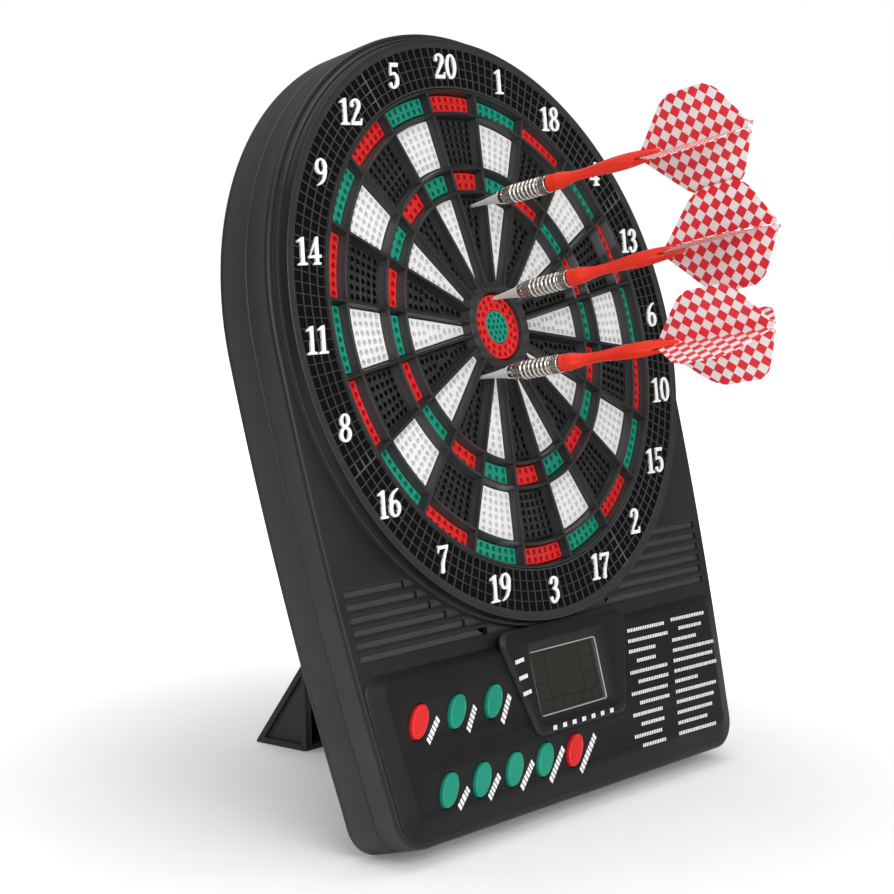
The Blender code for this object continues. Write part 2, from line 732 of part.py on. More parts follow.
def dart_frame(spec):
    """The board-frame matrix of a dart: local Z runs along its axis from the pad outwards."""
    axis = Vector(spec["axis"]).normalized()
    turn = math.radians(spec["turn"])
    wing = Vector((math.cos(turn), math.sin(turn), 0))
    wing = (wing - axis * wing.dot(axis)).normalized()
    other = axis.cross(wing)
    matrix = Matrix((wing, other, axis)).transposed().to_4x4()
    matrix.translation = Vector((*spec["at"], DART_BASE_Z)) * MM
    return matrix


def place_on_dart(node, spec):
    """Stand a node, drawn along its own Z, on a dart's axis."""
    matrix = dart_frame(spec)
    node.location = matrix.to_translation()
    node.rotation_euler = matrix.to_euler()


def wing_outline():
    """Two opposite wings of a flight, as (radius, distance along the dart)."""
    start = FLIGHT_START
    right = [
        (0.5, start), (17.5, start + 18), (21, start + 22.5), (21.8, start + 29), (21.8, start + 41),
        (19.5, start + 47), (2, DART_END),
    ]
    return right + [(-r, z) for r, z in reversed(right)]


def make_darts():
    """Three darts, each a tip, a barrel, a shaft with a split end, and a four-wing flight."""
    tip_end = BARREL_START - CLEARANCE
    tip = [
        (0, tip_end), (2.9, tip_end), (2.6, 14.4), (0.9, 0.5), (0.7, -TIP_DEPTH), (0, -TIP_DEPTH),
    ]
    barrel_end = SHAFT_START - CLEARANCE
    barrel = [
        (0, barrel_end), (3.9, barrel_end), (4.1, 41), (4.1, 24), (3.1, BARREL_START), (0, BARREL_START),
    ]
    shaft = [
        (0, SHAFT_END), (1.6, SHAFT_END), (2.1, 103), (3.1, 92), (3.3, 84), (2.4, 68), (2.3, 60), (3.8, 50.5),
        (3.8, SHAFT_START), (0, SHAFT_START),
    ]
    for name, spec in DARTS.items():
        for part, profile, look, steps in (
            ("tip", tip, "tip", 12), ("barrel", barrel, "nickel", 18), ("shaft", shaft, "orange", 14),
        ):
            node = put_in_frame(f"{name}_{part}", turned(profile), look)
            place_on_dart(node, spec)
            spin(node, steps)
            if part == "shaft":
                for wide, deep in ((5, 0.55), (0.55, 5)):
                    slot = boolean(node, box(-wide, wide, -deep, deep, FLIGHT_START - 0.4, SHAFT_END + 1))
                    place_on_dart(slot, spec)
        wings = plate([wing_outline()], -0.22, 0.22)
        wings.transform(Matrix.Rotation(math.pi / 2, 4, "X"))
        crossed = wings.copy()
        crossed.transform(Matrix.Rotation(math.pi / 2, 4, "Z"))
        flight = put_in_frame(f"{name}_flight", wings, "flight")
        place_on_dart(flight, spec)
        place_on_dart(boolean(flight, crossed, "UNION"), spec)
        pad = bpy.data.objects[spec["pad"]]
        place_on_dart(boolean(pad, cylinder(0, 0, TIP_HOLE, -8, 3, 12)), spec)


make_front_shell()
make_rear_shell()
make_spider()
make_segments()
make_bull()
make_number_ring()
make_sensor_mat()
make_display()
make_buttons()
make_electronics()
make_batteries()
make_leg_bracket()
make_leg()
make_rubber_foot()
make_darts()
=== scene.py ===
import math
import random

import bmesh
import bpy
from mathutils import Matrix, Vector
from mathutils.geometry import tessellate_polygon


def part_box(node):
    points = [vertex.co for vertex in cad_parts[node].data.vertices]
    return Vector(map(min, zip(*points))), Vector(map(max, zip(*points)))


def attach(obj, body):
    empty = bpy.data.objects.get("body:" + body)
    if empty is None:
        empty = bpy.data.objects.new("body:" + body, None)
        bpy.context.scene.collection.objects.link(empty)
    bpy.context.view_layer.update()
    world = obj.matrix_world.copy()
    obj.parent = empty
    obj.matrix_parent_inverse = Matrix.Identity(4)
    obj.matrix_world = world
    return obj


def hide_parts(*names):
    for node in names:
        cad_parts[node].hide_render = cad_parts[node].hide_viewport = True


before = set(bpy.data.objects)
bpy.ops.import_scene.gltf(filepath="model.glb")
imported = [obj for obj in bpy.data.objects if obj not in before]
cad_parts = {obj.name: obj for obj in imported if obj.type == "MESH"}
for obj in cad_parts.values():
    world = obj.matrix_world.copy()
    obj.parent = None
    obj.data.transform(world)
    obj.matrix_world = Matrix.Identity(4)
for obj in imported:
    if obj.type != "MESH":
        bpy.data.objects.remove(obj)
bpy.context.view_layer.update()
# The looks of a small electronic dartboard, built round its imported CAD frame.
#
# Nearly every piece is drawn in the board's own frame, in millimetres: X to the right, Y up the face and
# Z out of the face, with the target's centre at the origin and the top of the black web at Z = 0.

MM = 0.001
LEAN = math.radians(15)

# Case.
ARCH_RADIUS = 135.3
SIDE_CURVE = 3.4e-4
BOTTOM_Y = -208.6
CORNER_RADIUS = 15.0
FACE_Z = -6.8
SEAM_Z = -19.0
BACK_Z = -36.0
WALL = 2.4

# Target.
NUMBERS = (20, 1, 18, 4, 13, 6, 10, 15, 2, 17, 3, 19, 7, 16, 8, 11, 14, 9, 12, 5)
SECTOR = 18.0
BULL_CENTRE = 7.5
BULL_RADIUS = 15.3
BULL_RIM = 20.4
TARGET_RADIUS = 108.0
WEB_DEPTH = 8.0
WEB_HALF_WALL = 0.9
RINGS = {
    "inner": (BULL_RIM, 60.3),
    "triple": (62.1, 71.4),
    "outer": (73.2, 96.1),
    "double": (97.9, 106.6),
}
PAD_GAP = 0.7
PAD_TOP = -4.0
BULL_TOP = -1.6
PAD_BACK = -8.3
FLANGE_BACK = -9.5
HOLE_RADIUS = 1.15
HOLE_PITCH = 3.45

# Number ring.
RING_INNER = 108.4
RING_RIM = 127.0
RING_OUTER = 133.0
GRID_ROWS = 4
GRID_STEP = 2.25
RIB_HALF = 0.17
GRID_FLOOR = -0.9
GRID_TOP = -0.3
NUMERAL_RADIUS = 118.3
NUMERAL_HEIGHT = 11.6
NUMERAL_SHEAR = 0.21

# Control panel.
PANEL_Z = -3.4
PANEL_TOP_Y = -136.6
BUTTON_HALF_LENGTH = 8.0
BUTTON_HALF_WIDTH = 4.4
BUTTON_SLANT = 50
BUTTON_TOP = -2.0
BUTTONS = {
    "power": (-101.6, -158.4, "red"),
    "sound": (-77.4, -158.4, "teal"),
    "double": (-53.1, -158.4, "teal"),
    "game": (-91.8, -188.3, "teal"),
    "option": (-70.4, -188.3, "teal"),
    "player": (-48.6, -188.3, "teal"),
    "eliminate": (-27.3, -188.3, "teal"),
    "start": (-5.9, -188.3, "red"),
}
DISPLAY_Y = -156.5
DISPLAY_HALF_WIDTH = 24.0
DISPLAY_HALF_HEIGHT = 14.1
DISPLAY_LINE_HALF = 0.17
RECESS_WALLS = {"left": 0.45, "right": 1.4, "low": 0.8, "high": 0.8}
HOOD_X = 3.0
HOOD_TOP_Y = -131.5
HOOD_BOTTOM_Y = -178.5
HOOD_TOP_HALF = 45.0
HOOD_BOTTOM_HALF = 33.6
HOOD_CORNER = 5.0

# Lines on the display: from and to, across and down it, as shares of its size.
DISPLAY_LINES = (
    (0.25, 0.04, 0.25, 0.93), (0.76, 0.04, 0.76, 0.78), (0.95, 0.04, 0.95, 0.78), (0.04, 0.78, 0.95, 0.78),
    (0.04, 0.27, 0.25, 0.27), (0.04, 0.52, 0.25, 0.52), (0.76, 0.27, 0.95, 0.27), (0.76, 0.52, 0.95, 0.52),
    (0.41, 0.78, 0.41, 0.93), (0.56, 0.78, 0.56, 0.93), (0.70, 0.78, 0.70, 0.93), (0.84, 0.78, 0.84, 0.93),
)

# Printed rows on the right of the panel: each column's x, which of its rows are indented, and their lengths.
ROW_TOP_Y = -144.2
ROW_PITCH = 4.7
ROW_SLANT = 0.235
ROW_INDENT = 5.9
ROW_COLUMNS = (
    (50.3, (3, 5, 7, 9, 11), (29.5, 31.7, 21.0, 15.4, 30.2, 23.8, 28.5, 23.4, 23.5, 18.5, 21.7, 18.1)),
    (85.5, (1,), (27.6, 18.9, 20.0, 34.0, 32.6, 35.2, 19.4, 33.8, 31.7, 29.3, 24.0, 31.5)),
)

# Printed words beside the buttons: where each starts and ends.
BUTTON_WORDS = (
    ((-98.4, -167.3), (-88.5, -158.2)), ((-72.6, -167.3), (-65.1, -158.4)),
    ((-49.9, -168.0), (-41.5, -157.8)), ((-87.8, -196.5), (-79.7, -190.0)),
    ((-68.0, -196.6), (-57.7, -187.8)), ((-46.3, -197.0), (-34.5, -187.0)),
    ((-26.2, -197.9), (-12.4, -185.3)), ((-4.3, -198.0), (11.9, -183.8)),
)

HOOD_FACE_Z = -0.72
PRINT_THICK = 0.06

# Leg. The foot's corners are depths and heights over the ground.
LEG_LEFT = 1.0
LEG_WIDTH = 30.0
LEG_THICK = 7.2
FOOT_TOE = (120.3, 0.0)
FOOT_HEEL = (154.5, 0.0)
FOOT_PEAK = (121.2, 41.4)
FOOT_KNEE = (109.5, 61.0)
FOOT_PANEL = ((123.0, 3.0), (148.6, 3.0), (123.2, 37.6))

# Distances from the board, in metres, where the floor starts to brighten and where it is white.
FLOOR_SHADED = 0.12
FLOOR_WHITE = 0.6

# Soft boxes, in metres: place, height of the point it faces, size and power in watts.
LIGHTS = {
    "key": ((-1.0, -1.3, 1.1), 0.18, 1.1, 17.5),
    "front": ((-0.1, -1.6, 0.7), 0.2, 1.0, 8.5),
    "top": ((0, 0.1, 1.6), 0.2, 1.4, 11),
}
SURROUND_LIGHT = 0.27

# Camera: lens in mm, heading and dip in degrees, and place from the target's centre in metres. The photo's
# target is a little off the middle of its case, and the camera takes up half of that.
CAMERA_LENS = 91.4
CAMERA_HEADING = 50.49
CAMERA_DIP = 6.16
CAMERA_PLACE = (-0.7863, -0.6185, 0.0543)
CAMERA_SHIFT = 0.57
CAMERA_ROLL = 0.3

# Louvres.
LOUVRE_COUNT = 6
LOUVRE_FIRST_Y = -102.5
LOUVRE_PITCH = 5.3
LOUVRE_HEIGHT = 2.6
LOUVRE_DEPTH = 1.5
LOUVRE_INSET = 5.8
LOUVRE_RADIUS = 136.0

# Darts: distances along the axis, from the point where the tip enters the board.
RING_PITCH = 2.3
BARREL_START = 16.7
SHAFT_START = 44.8
SHAFT_END = 106.0
FLIGHT_START = 93.4
DART_END = 151.5
DART_BASE_Z = -2.9
DARTS = {
    "dart_1": {"at": (3.4, 55.5), "axis": (-0.052, -0.049, 0.997), "turn": 105},
    "dart_2": {"at": (2.1, 12.9), "axis": (-0.016, -0.034, 0.999), "turn": 92},
    "dart_3": {"at": (-16.4, -21.5), "axis": (-0.015, -0.078, 0.997), "turn": 115},
}

# Where the board's frame lies in the world: the web is a disc whose box has its middle on the disc's.
TILT = Matrix.Rotation(math.pi / 2 - LEAN, 4, "X")
web_low, web_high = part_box("spider")
CENTRE = (web_low + web_high) / 2 - TILT.to_3x3() @ Vector((0, 0, -WEB_DEPTH / 2)) * MM
BOARD = Matrix.Translation(CENTRE) @ TILT


# ---------------------------------------------------------------- materials

GRAIN_DEPTH = 0.00004


def noise(tree, scale, detail):
    """A noise texture in the piece's own coordinates, in features per metre."""
    coordinates = tree.nodes.new("ShaderNodeTexCoord")
    texture = tree.nodes.new("ShaderNodeTexNoise")
    texture.inputs["Scale"].default_value = scale
    texture.inputs["Detail"].default_value = detail
    tree.links.new(coordinates.outputs["Object"], texture.inputs["Vector"])
    return texture


def spread(tree, source, low, high, start=0.3, stop=0.7):
    """A value that runs from start to stop, mapped to a range."""
    ranged = tree.nodes.new("ShaderNodeMapRange")
    for name, value in (("From Min", start), ("From Max", stop), ("To Min", low), ("To Max", high)):
        ranged.inputs[name].default_value = value
    tree.links.new(source, ranged.inputs["Value"])
    return ranged.outputs["Result"]


def mixed(tree, factor, first, second):
    """A colour, or a colour socket, turned to another colour by a factor socket."""
    mix = tree.nodes.new("ShaderNodeMix")
    mix.data_type = "RGBA"
    if isinstance(first, bpy.types.NodeSocket):
        tree.links.new(first, mix.inputs["A"])
    else:
        mix.inputs["A"].default_value = (*first, 1)
    mix.inputs["B"].default_value = (*second, 1)
    tree.links.new(factor, mix.inputs["Factor"])
    return mix.outputs["Result"]


def finish_of(name, colour, roughness, grain=900, bump=0.15, vary=0.12, edge_highlight=0.0, coat=0.0,
              metallic=0.0, specular=0.5):
    """A moulded surface: fine grain in the bump, slow changes of colour and gloss, and painted highlights:
    paler colour on sharp edges.
    """
    result = bpy.data.materials.new(name)
    result.use_nodes = True
    result.diffuse_color = (*colour, 1)
    tree = result.node_tree
    shader = tree.nodes["Principled BSDF"]
    shader.inputs["Metallic"].default_value = metallic
    shader.inputs["Specular IOR Level"].default_value = specular
    shader.inputs["Coat Weight"].default_value = coat
    shader.inputs["Coat Roughness"].default_value = 0.15
    slow = noise(tree, 45, 3).outputs["Fac"]
    fine = noise(tree, grain, 2)
    tree.links.new(spread(tree, slow, roughness - 0.06, roughness + 0.06), shader.inputs["Roughness"])
    darker = [c * (1 - vary) for c in colour]
    lighter = [min(1, c * (1 + vary)) for c in colour]
    base = mixed(tree, spread(tree, slow, 0, 1), darker, lighter)
    # Painted highlight: sharp convex edges, found by pointiness, are painted paler in place of light caught
    # on rounded edges.
    if edge_highlight:
        pointiness = tree.nodes.new("ShaderNodeNewGeometry").outputs["Pointiness"]
        edge = spread(tree, pointiness, 0, edge_highlight, 0.52, 0.62)
        base = mixed(tree, edge, base, [min(1, c * 1.5 + 0.12) for c in colour])
    tree.links.new(base, shader.inputs["Base Color"])
    height = tree.nodes.new("ShaderNodeBump")
    height.inputs["Strength"].default_value = bump
    height.inputs["Distance"].default_value = GRAIN_DEPTH
    tree.links.new(fine.outputs["Fac"], height.inputs["Height"])
    tree.links.new(height.outputs["Normal"], shader.inputs["Normal"])
    return result


def checked_film(name, size):
    """Glossy film printed with small red and white checks, from UVs in millimetres."""
    result = finish_of(name, (0.84, 0.022, 0.035), 0.35, grain=500, bump=0.1, vary=0.1)
    tree = result.node_tree
    shader = tree.nodes["Principled BSDF"]
    coordinates = tree.nodes.new("ShaderNodeTexCoord")
    mapping = tree.nodes.new("ShaderNodeMapping")
    mapping.inputs["Rotation"].default_value = (0, 0, math.radians(45))
    mapping.inputs["Scale"].default_value = (1 / size, 1 / size, 1)
    checks = tree.nodes.new("ShaderNodeTexChecker")
    checks.inputs["Scale"].default_value = 1.0
    checks.inputs["Color1"].default_value = (0.95, 0.93, 0.93, 1)
    red = shader.inputs["Base Color"].links[0].from_socket
    tree.links.new(coordinates.outputs["UV"], mapping.inputs["Vector"])
    tree.links.new(mapping.outputs["Vector"], checks.inputs["Vector"])
    tree.links.new(red, checks.inputs["Color2"])
    tree.links.new(checks.outputs["Color"], shader.inputs["Base Color"])
    return result


def clear_window(name):
    """The clear polished window over the display: a thin film of gloss that lets the display show through."""
    result = finish_of(name, (0.02, 0.022, 0.018), 0.12, grain=300, bump=0.0, vary=0.02)
    shader = result.node_tree.nodes["Principled BSDF"]
    shader.inputs["Alpha"].default_value = 0.25
    return result


# Finishes given an edge amount below get painted highlights: paler colour on their sharp edges.
LOOKS = {
    "case": finish_of("case_black", (0.0105, 0.0105, 0.011), 0.42, bump=0.25, edge_highlight=0.3, specular=0.35),
    "panel": finish_of("panel_black", (0.006, 0.006, 0.0065), 0.48, bump=0.3, edge_highlight=0.3, specular=0.25),
    "web": finish_of("web_black", (0.008, 0.008, 0.0085), 0.34, grain=700, bump=0.1, edge_highlight=0.8, specular=0.35),
    "ring": finish_of("ring_black", (0.009, 0.009, 0.0095), 0.38, bump=0.15, edge_highlight=0.5, specular=0.35),
    "rib": finish_of("ring_rib", (0.035, 0.035, 0.036), 0.34, bump=0.1, edge_highlight=0.6, specular=0.45),
    "ring_floor": finish_of("ring_floor_black", (0.0015, 0.0015, 0.0015), 0.8, bump=0.2, specular=0.1),
    "white": finish_of("pad_white", (0.82, 0.82, 0.81), 0.42, grain=500, bump=0.1, vary=0.03),
    "black": finish_of(
        "pad_black", (0.006, 0.006, 0.0062), 0.36, grain=500, bump=0.2, edge_highlight=0.8, specular=0.4,
    ),
    "red": finish_of("plastic_red", (0.66, 0.011, 0.011), 0.34, grain=500, bump=0.1, vary=0.08, edge_highlight=0.35),
    "teal": finish_of("plastic_teal", (0.002, 0.26, 0.17), 0.34, grain=500, bump=0.1, vary=0.08, edge_highlight=0.35),
    "ink": finish_of("printed_white", (0.86, 0.86, 0.86), 0.5, grain=800, bump=0.05, vary=0.03),
    "rubber": finish_of("rubber_grey", (0.045, 0.045, 0.045), 0.85, grain=1500, bump=0.5),
    "display": finish_of("display_olive", (0.034, 0.037, 0.028), 0.45, grain=400, bump=0.03, vary=0.06),
    "segment": finish_of("display_lines", (0.003, 0.003, 0.0025), 0.8, grain=400, bump=0.03),
    "silver": finish_of("display_frame", (0.62, 0.62, 0.60), 0.35, grain=1200, bump=0.1, metallic=0.6),
    "steel": finish_of("steel_pin", (0.55, 0.55, 0.55), 0.3, grain=800, bump=0.1, metallic=1.0),
    "nickel": finish_of("barrel_nickel", (0.60, 0.57, 0.53), 0.22, grain=1500, bump=0.15, metallic=1.0),
    "orange": finish_of("shaft_orange", (1.0, 0.042, 0.018), 0.2, grain=300, bump=0.04, vary=0.05, coat=0.3),
    "tip": finish_of("tip_white", (0.78, 0.78, 0.75), 0.35, grain=500, bump=0.06, vary=0.03),
    "battery": finish_of("battery_blue", (0.03, 0.08, 0.30), 0.35),
    "green": finish_of("circuit_green", (0.01, 0.12, 0.05), 0.5),
    "flight": checked_film("flight_checked", 4.0),
    "glass": clear_window("lens_clear"),
}


# ---------------------------------------------------------------- shapes

def arc(centre_x, centre_y, radius, start, end, steps):
    """Points along an arc; the angles are in degrees."""
    angles = [math.radians(start + (end - start) * i / steps) for i in range(steps + 1)]
    return [(centre_x + radius * math.cos(a), centre_y + radius * math.sin(a)) for a in angles]


def polar(radius, angle):
    """The point at a radius and an angle in radians."""
    return radius * math.cos(angle), radius * math.sin(angle)


def ring(radius, steps=180, centre=(0, 0)):
    """A full circle."""
    return arc(*centre, radius, 0, 360 - 360 / steps, steps - 1)


def rectangle(x0, x1, y0, y1, grow=0.0):
    """The corners of a rectangle, made larger by grow."""
    return [(x0 - grow, y0 - grow), (x1 + grow, y0 - grow), (x1 + grow, y1 + grow), (x0 - grow, y1 + grow)]


def turned_by(points, degrees):
    """Points turned about the target's centre."""
    cosine = math.cos(math.radians(degrees))
    sine = math.sin(math.radians(degrees))
    return [(x * cosine - y * sine, x * sine + y * cosine) for x, y in points]


def soft_corners(points, radius, steps=4, closed=True):
    """The same outline with its sharp corners rounded."""
    result = []
    count = len(points)
    for i, point in enumerate(points):
        here = Vector(point)
        before = Vector(points[i - 1]) - here
        after = Vector(points[(i + 1) % count]) - here
        at_end = not closed and i in (0, count - 1)
        if at_end or min(before.length, after.length) < 1e-9 or before.angle(after) > math.radians(150):
            result.append(tuple(here))
            continue
        reach = min(radius, before.length * 0.45, after.length * 0.45)
        start = here + before.normalized() * reach
        end = here + after.normalized() * reach
        for step in range(steps + 1):
            t = step / steps
            result.append(tuple(start * (1 - t) ** 2 + here * 2 * t * (1 - t) + end * t ** 2))
    return result


def mesh_of(work, name="piece"):
    """Close a bmesh into a mesh with its faces out."""
    bmesh.ops.recalc_face_normals(work, faces=work.faces)
    mesh = bpy.data.meshes.new(name)
    work.to_mesh(mesh)
    work.free()
    return mesh


def area_inside(points):
    """The area inside a closed flat line."""
    total = Vector((0, 0, 0))
    for i, point in enumerate(points):
        total += point.cross(points[(i + 1) % len(points)])
    return total.length / 2


def cap(work, rings):
    """Fill one end of a slab: the first ring is outside and the others are holes. Another way up is tried if
    the fill doesn't come to the right area."""
    verts = [vert for ring_verts in rings for vert in ring_verts]
    for attempt in range(12):
        turn = Matrix.Rotation(0.37 * attempt, 3, "Z") @ Matrix.Rotation(0.2 * attempt, 3, "X")
        flat = [[turn @ vert.co for vert in ring_verts] for ring_verts in rings]
        points = [point for line in flat for point in line]
        triangles = tessellate_polygon(flat)
        wanted = area_inside(flat[0]) - sum(area_inside(line) for line in flat[1:])
        filled = sum(area_inside([points[i] for i in triangle]) for triangle in triangles)
        if abs(filled - wanted) < wanted * 1e-4:
            break
    for triangle in triangles:
        work.faces.new([verts[i] for i in triangle])


def vertex(work, x, y, z):
    """A new vertex, from millimetres."""
    return work.verts.new((x * MM, y * MM, z * MM))


def band(work, low, high):
    """Faces between two closed rows of vertices."""
    for i in range(len(low)):
        j = (i + 1) % len(low)
        work.faces.new((low[i], low[j], high[j], high[i]))


def slab(outside, holes, levels):
    """A solid of stacked outlines. Each outline is a function of how much material is added at its edge, and
    each level is (z, added outside, added in the holes), from the bottom up."""
    work = bmesh.new()
    stack = []
    for z, out, within in levels:
        loops = [outside(out)] + [hole(within) for hole in holes]
        stack.append([[vertex(work, x, y, z) for x, y in loop] for loop in loops])
    for lower, upper in zip(stack, stack[1:]):
        for low, high in zip(lower, upper):
            band(work, low, high)
    cap(work, stack[0])
    cap(work, stack[-1])
    return mesh_of(work)


def rounded_levels(low, high, radius, steps=3, both=False, holes=1.0):
    """Levels for a slab whose upper edges, and lower edges if both, are rounded."""
    top = []
    for i in range(steps + 1):
        angle = math.pi / 2 * i / steps
        inset = radius * (1 - math.cos(angle))
        top.append((high - radius + radius * math.sin(angle), -inset, -inset * holes))
    if both:
        bottom = [(low + high - z, out, within) for z, out, within in reversed(top)]
    else:
        bottom = [(low, 0, 0)]
    return bottom + top


def plate(outline, z0, z1, holes=()):
    """A flat solid with straight edges."""
    edges = [lambda grow, hole=hole: hole for hole in holes]
    return slab(lambda grow: outline, edges, [(z0, 0, 0), (z1, 0, 0)])


def box(x0, x1, y0, y1, z0, z1):
    """A box between corners."""
    return plate(rectangle(x0, x1, y0, y1), z0, z1)


def soft_box(x0, x1, y0, y1, z0, z1, radius):
    """A box with round upright corners and softened top edges."""
    def outline(grow):
        return soft_corners(rectangle(x0, x1, y0, y1, grow), radius)

    return slab(outline, [], rounded_levels(z0, z1, min(radius, (z1 - z0) / 2) * 0.5))


def lathe(profile, steps=96):
    """A turned solid, from a line of (radius, z) that starts and ends on the axis or closes on itself."""
    work = bmesh.new()
    verts = [work.verts.new((r * MM, 0, z * MM)) for r, z in profile]
    edges = [work.edges.new(pair) for pair in zip(verts, verts[1:])]
    if profile[0][0] > 0:
        edges.append(work.edges.new((verts[-1], verts[0])))
    bmesh.ops.spin(
        work, geom=verts + edges, cent=(0, 0, 0), axis=(0, 0, 1), angle=2 * math.pi, steps=steps,
        use_merge=True, use_duplicate=False,
    )
    bmesh.ops.remove_doubles(work, verts=work.verts, dist=1e-7)
    return mesh_of(work)


def prism(outline, x0, x1, radius=0.0, hole=None):
    """A solid across the board, from a side outline in board (y, z), with an optional hole through it."""
    lines = [outline] if hole is None else [outline, hole]
    if radius:
        lines = [soft_corners(line, radius) for line in lines]
    work = bmesh.new()
    ends = [[[vertex(work, x, y, z) for y, z in line] for line in lines] for x in (x0, x1)]
    for low, high in zip(*ends):
        band(work, low, high)
    cap(work, ends[0])
    cap(work, ends[1])
    return mesh_of(work)


def joined(meshes):
    """Several meshes as one."""
    work = bmesh.new()
    for mesh in meshes:
        work.from_mesh(mesh)
        bpy.data.meshes.remove(mesh)
    result = bpy.data.meshes.new("piece")
    work.to_mesh(result)
    work.free()
    return result


def add_object(name, data):
    """A new object in the scene."""
    result = bpy.data.objects.new(name, data)
    bpy.context.scene.collection.objects.link(result)
    return result


def combined(mesh, other, operation):
    """An exact Boolean of two meshes."""
    holder = add_object("holder", mesh)
    tool = add_object("tool", other)
    modifier = holder.modifiers.new("boolean", "BOOLEAN")
    modifier.operation = operation
    modifier.solver = "EXACT"
    modifier.object = tool
    bpy.context.view_layer.update()
    result = bpy.data.meshes.new_from_object(holder.evaluated_get(bpy.context.evaluated_depsgraph_get()))
    for used in (holder, tool):
        bpy.data.objects.remove(used)
    return result


def piece(name, mesh, look, body="board", place=None, replaces=(), sharp=35):
    """Put a mesh in the scene as a piece that rides on a CAD body."""
    mesh.transform(BOARD @ place if place else BOARD)
    mesh.materials.clear()
    mesh.materials.append(LOOKS[look])
    mesh.shade_smooth()
    mesh.set_sharp_from_angle(angle=math.radians(sharp))
    result = add_object(name, mesh)
    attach(result, body)
    if replaces:
        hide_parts(*replaces)
    return result


def at(x, y, turn=0.0):
    """A place on the board, with a turn in degrees."""
    return Matrix.Translation(Vector((x, y, 0)) * MM) @ Matrix.Rotation(math.radians(turn), 4, "Z")


# ---------------------------------------------------------------- case

def side_x(y):
    """Half the width of the case at a height below the target's centre."""
    return ARCH_RADIUS - SIDE_CURVE * y * y


def right_side(inset, top_y, steps=24):
    """The right edge of the case from the bottom middle up to top_y, moved inwards."""
    corner_y = BOTTOM_Y + CORNER_RADIUS
    slope = math.atan(-2 * SIDE_CURVE * corner_y)
    corner_x = side_x(corner_y) - CORNER_RADIUS * math.cos(slope)
    radius = max(CORNER_RADIUS - inset, 1.0)
    points = arc(corner_x, corner_y, radius, -90, -math.degrees(slope), 12)
    start_y = points[-1][1]
    for step in range(1, steps + 1):
        y = start_y + (top_y - start_y) * step / steps
        points.append((side_x(y) - inset, y))
    return points


def case_outline(grow):
    """The outline of the case, anticlockwise."""
    right = right_side(-grow, 0.0)
    left = [(-x, y) for x, y in reversed(right)]
    return right[:-1] + arc(0, 0, ARCH_RADIUS + grow, 0, 180, 120) + left[1:]


def case_inside(grow):
    """The inner face of the case's wall, as a hole."""
    return case_outline(-WALL - grow)


def panel_outline(grow):
    """The control panel's outline at its foot, or moved inwards by a negative amount."""
    margin = 2.0 - grow
    top_y = PANEL_TOP_Y + grow * 0.33
    corner = 8.0 + grow * 0.4
    right = right_side(margin, top_y - corner, 10)
    top_x = right[-1][0]
    right = right[:-1] + arc(top_x - corner, top_y - corner, corner, 0, 90, 10)
    return right + [(-x, y) for x, y in reversed(right)]


def louvre_holes():
    """The six slots on each side, as outlines."""
    result = []
    for row in range(LOUVRE_COUNT):
        y = LOUVRE_FIRST_Y - LOUVRE_PITCH * row
        inner_x = math.sqrt(LOUVRE_RADIUS ** 2 - y * y)
        for side in (-1, 1):
            x0, x1 = sorted((side * inner_x, side * (side_x(y) - LOUVRE_INSET)))
            result.append((x0, x1, y - LOUVRE_HEIGHT / 2, y + LOUVRE_HEIGHT / 2))
    return result


def slot_outline(x0, x1, y0, y1):
    """A slot as a function of how much material is added at its edge."""
    return lambda grow: soft_corners(rectangle(x0, x1, y0, y1, -grow), 1.0)


def round_hole(x, y, radius, steps=48):
    """A round hole as a function of how much material is added at its edge."""
    return lambda grow: ring(radius - grow, steps, (x, y))


def round_display(left, right, low, high):
    """The display's four edges moved outwards, as (x0, x1, y0, y1)."""
    return (
        -DISPLAY_HALF_WIDTH - left, DISPLAY_HALF_WIDTH + right,
        DISPLAY_Y - DISPLAY_HALF_HEIGHT - low, DISPLAY_Y + DISPLAY_HALF_HEIGHT + high,
    )


def control_openings(clearance):
    """The openings for the display and the buttons, in that order."""
    buttons = [button_outline(x, y, clearance) for x, y, look in BUTTONS.values()]
    return [slot_outline(*round_display(1, 1, 1, 1)), *buttons]


def make_front_case():
    """Front half: a face plate with slots and openings, the wall behind it, and plates under the slots."""
    holes = [round_hole(0, 0, 112, 180), *control_openings(0.3), *[slot_outline(*s) for s in louvre_holes()]]
    face = slab(case_outline, holes, rounded_levels(FACE_Z - WALL, FACE_Z, 1.5, 5, holes=0.25))
    lower = rounded_levels(SEAM_Z, FACE_Z - WALL, 0.35, 2, True, 0.0)[:3]
    wall = slab(case_outline, [case_inside], lower + [(FACE_Z - WALL, 0, 0)])
    piece("case_front", joined([face, wall]), "case", replaces=["front_shell"])
    backs = []
    low = LOUVRE_FIRST_Y - LOUVRE_PITCH * (LOUVRE_COUNT - 1) - 3
    top = FACE_Z - LOUVRE_DEPTH
    for side in (-1, 1):
        outline = [(side * 42, low), (side * 126, low), (side * 127, -100), (side * 88, -100)]
        backs.append(plate(outline, top - 0.7, top))
    piece("louvre_backs", joined(backs), "case")


def make_rear_case():
    """Rear half: a wall, and a back plate with a floor in the battery door's recess."""
    top = SEAM_Z - 0.3
    join = BACK_Z + WALL + 1.6
    wall = slab(case_outline, [case_inside], [(join, 0, 0), (top - 0.35, 0, 0), (top, -0.35, 0)])
    recess = slot_outline(-83.3, -16.7, -170.3, -124.7)
    levels = [(BACK_Z, -2.5, 0), (BACK_Z + 0.33, -1.25, 0), (BACK_Z + 1.25, -0.33, 0), (BACK_Z + 2.5, 0, 0)]
    back = slab(case_outline, [recess], levels + [(join, 0, 0)])
    floor = box(-84, -16, -171, -124, BACK_Z + 1.5, BACK_Z + WALL + 1.5)
    piece("case_rear", joined([wall, back, floor]), "case", replaces=["rear_shell"])


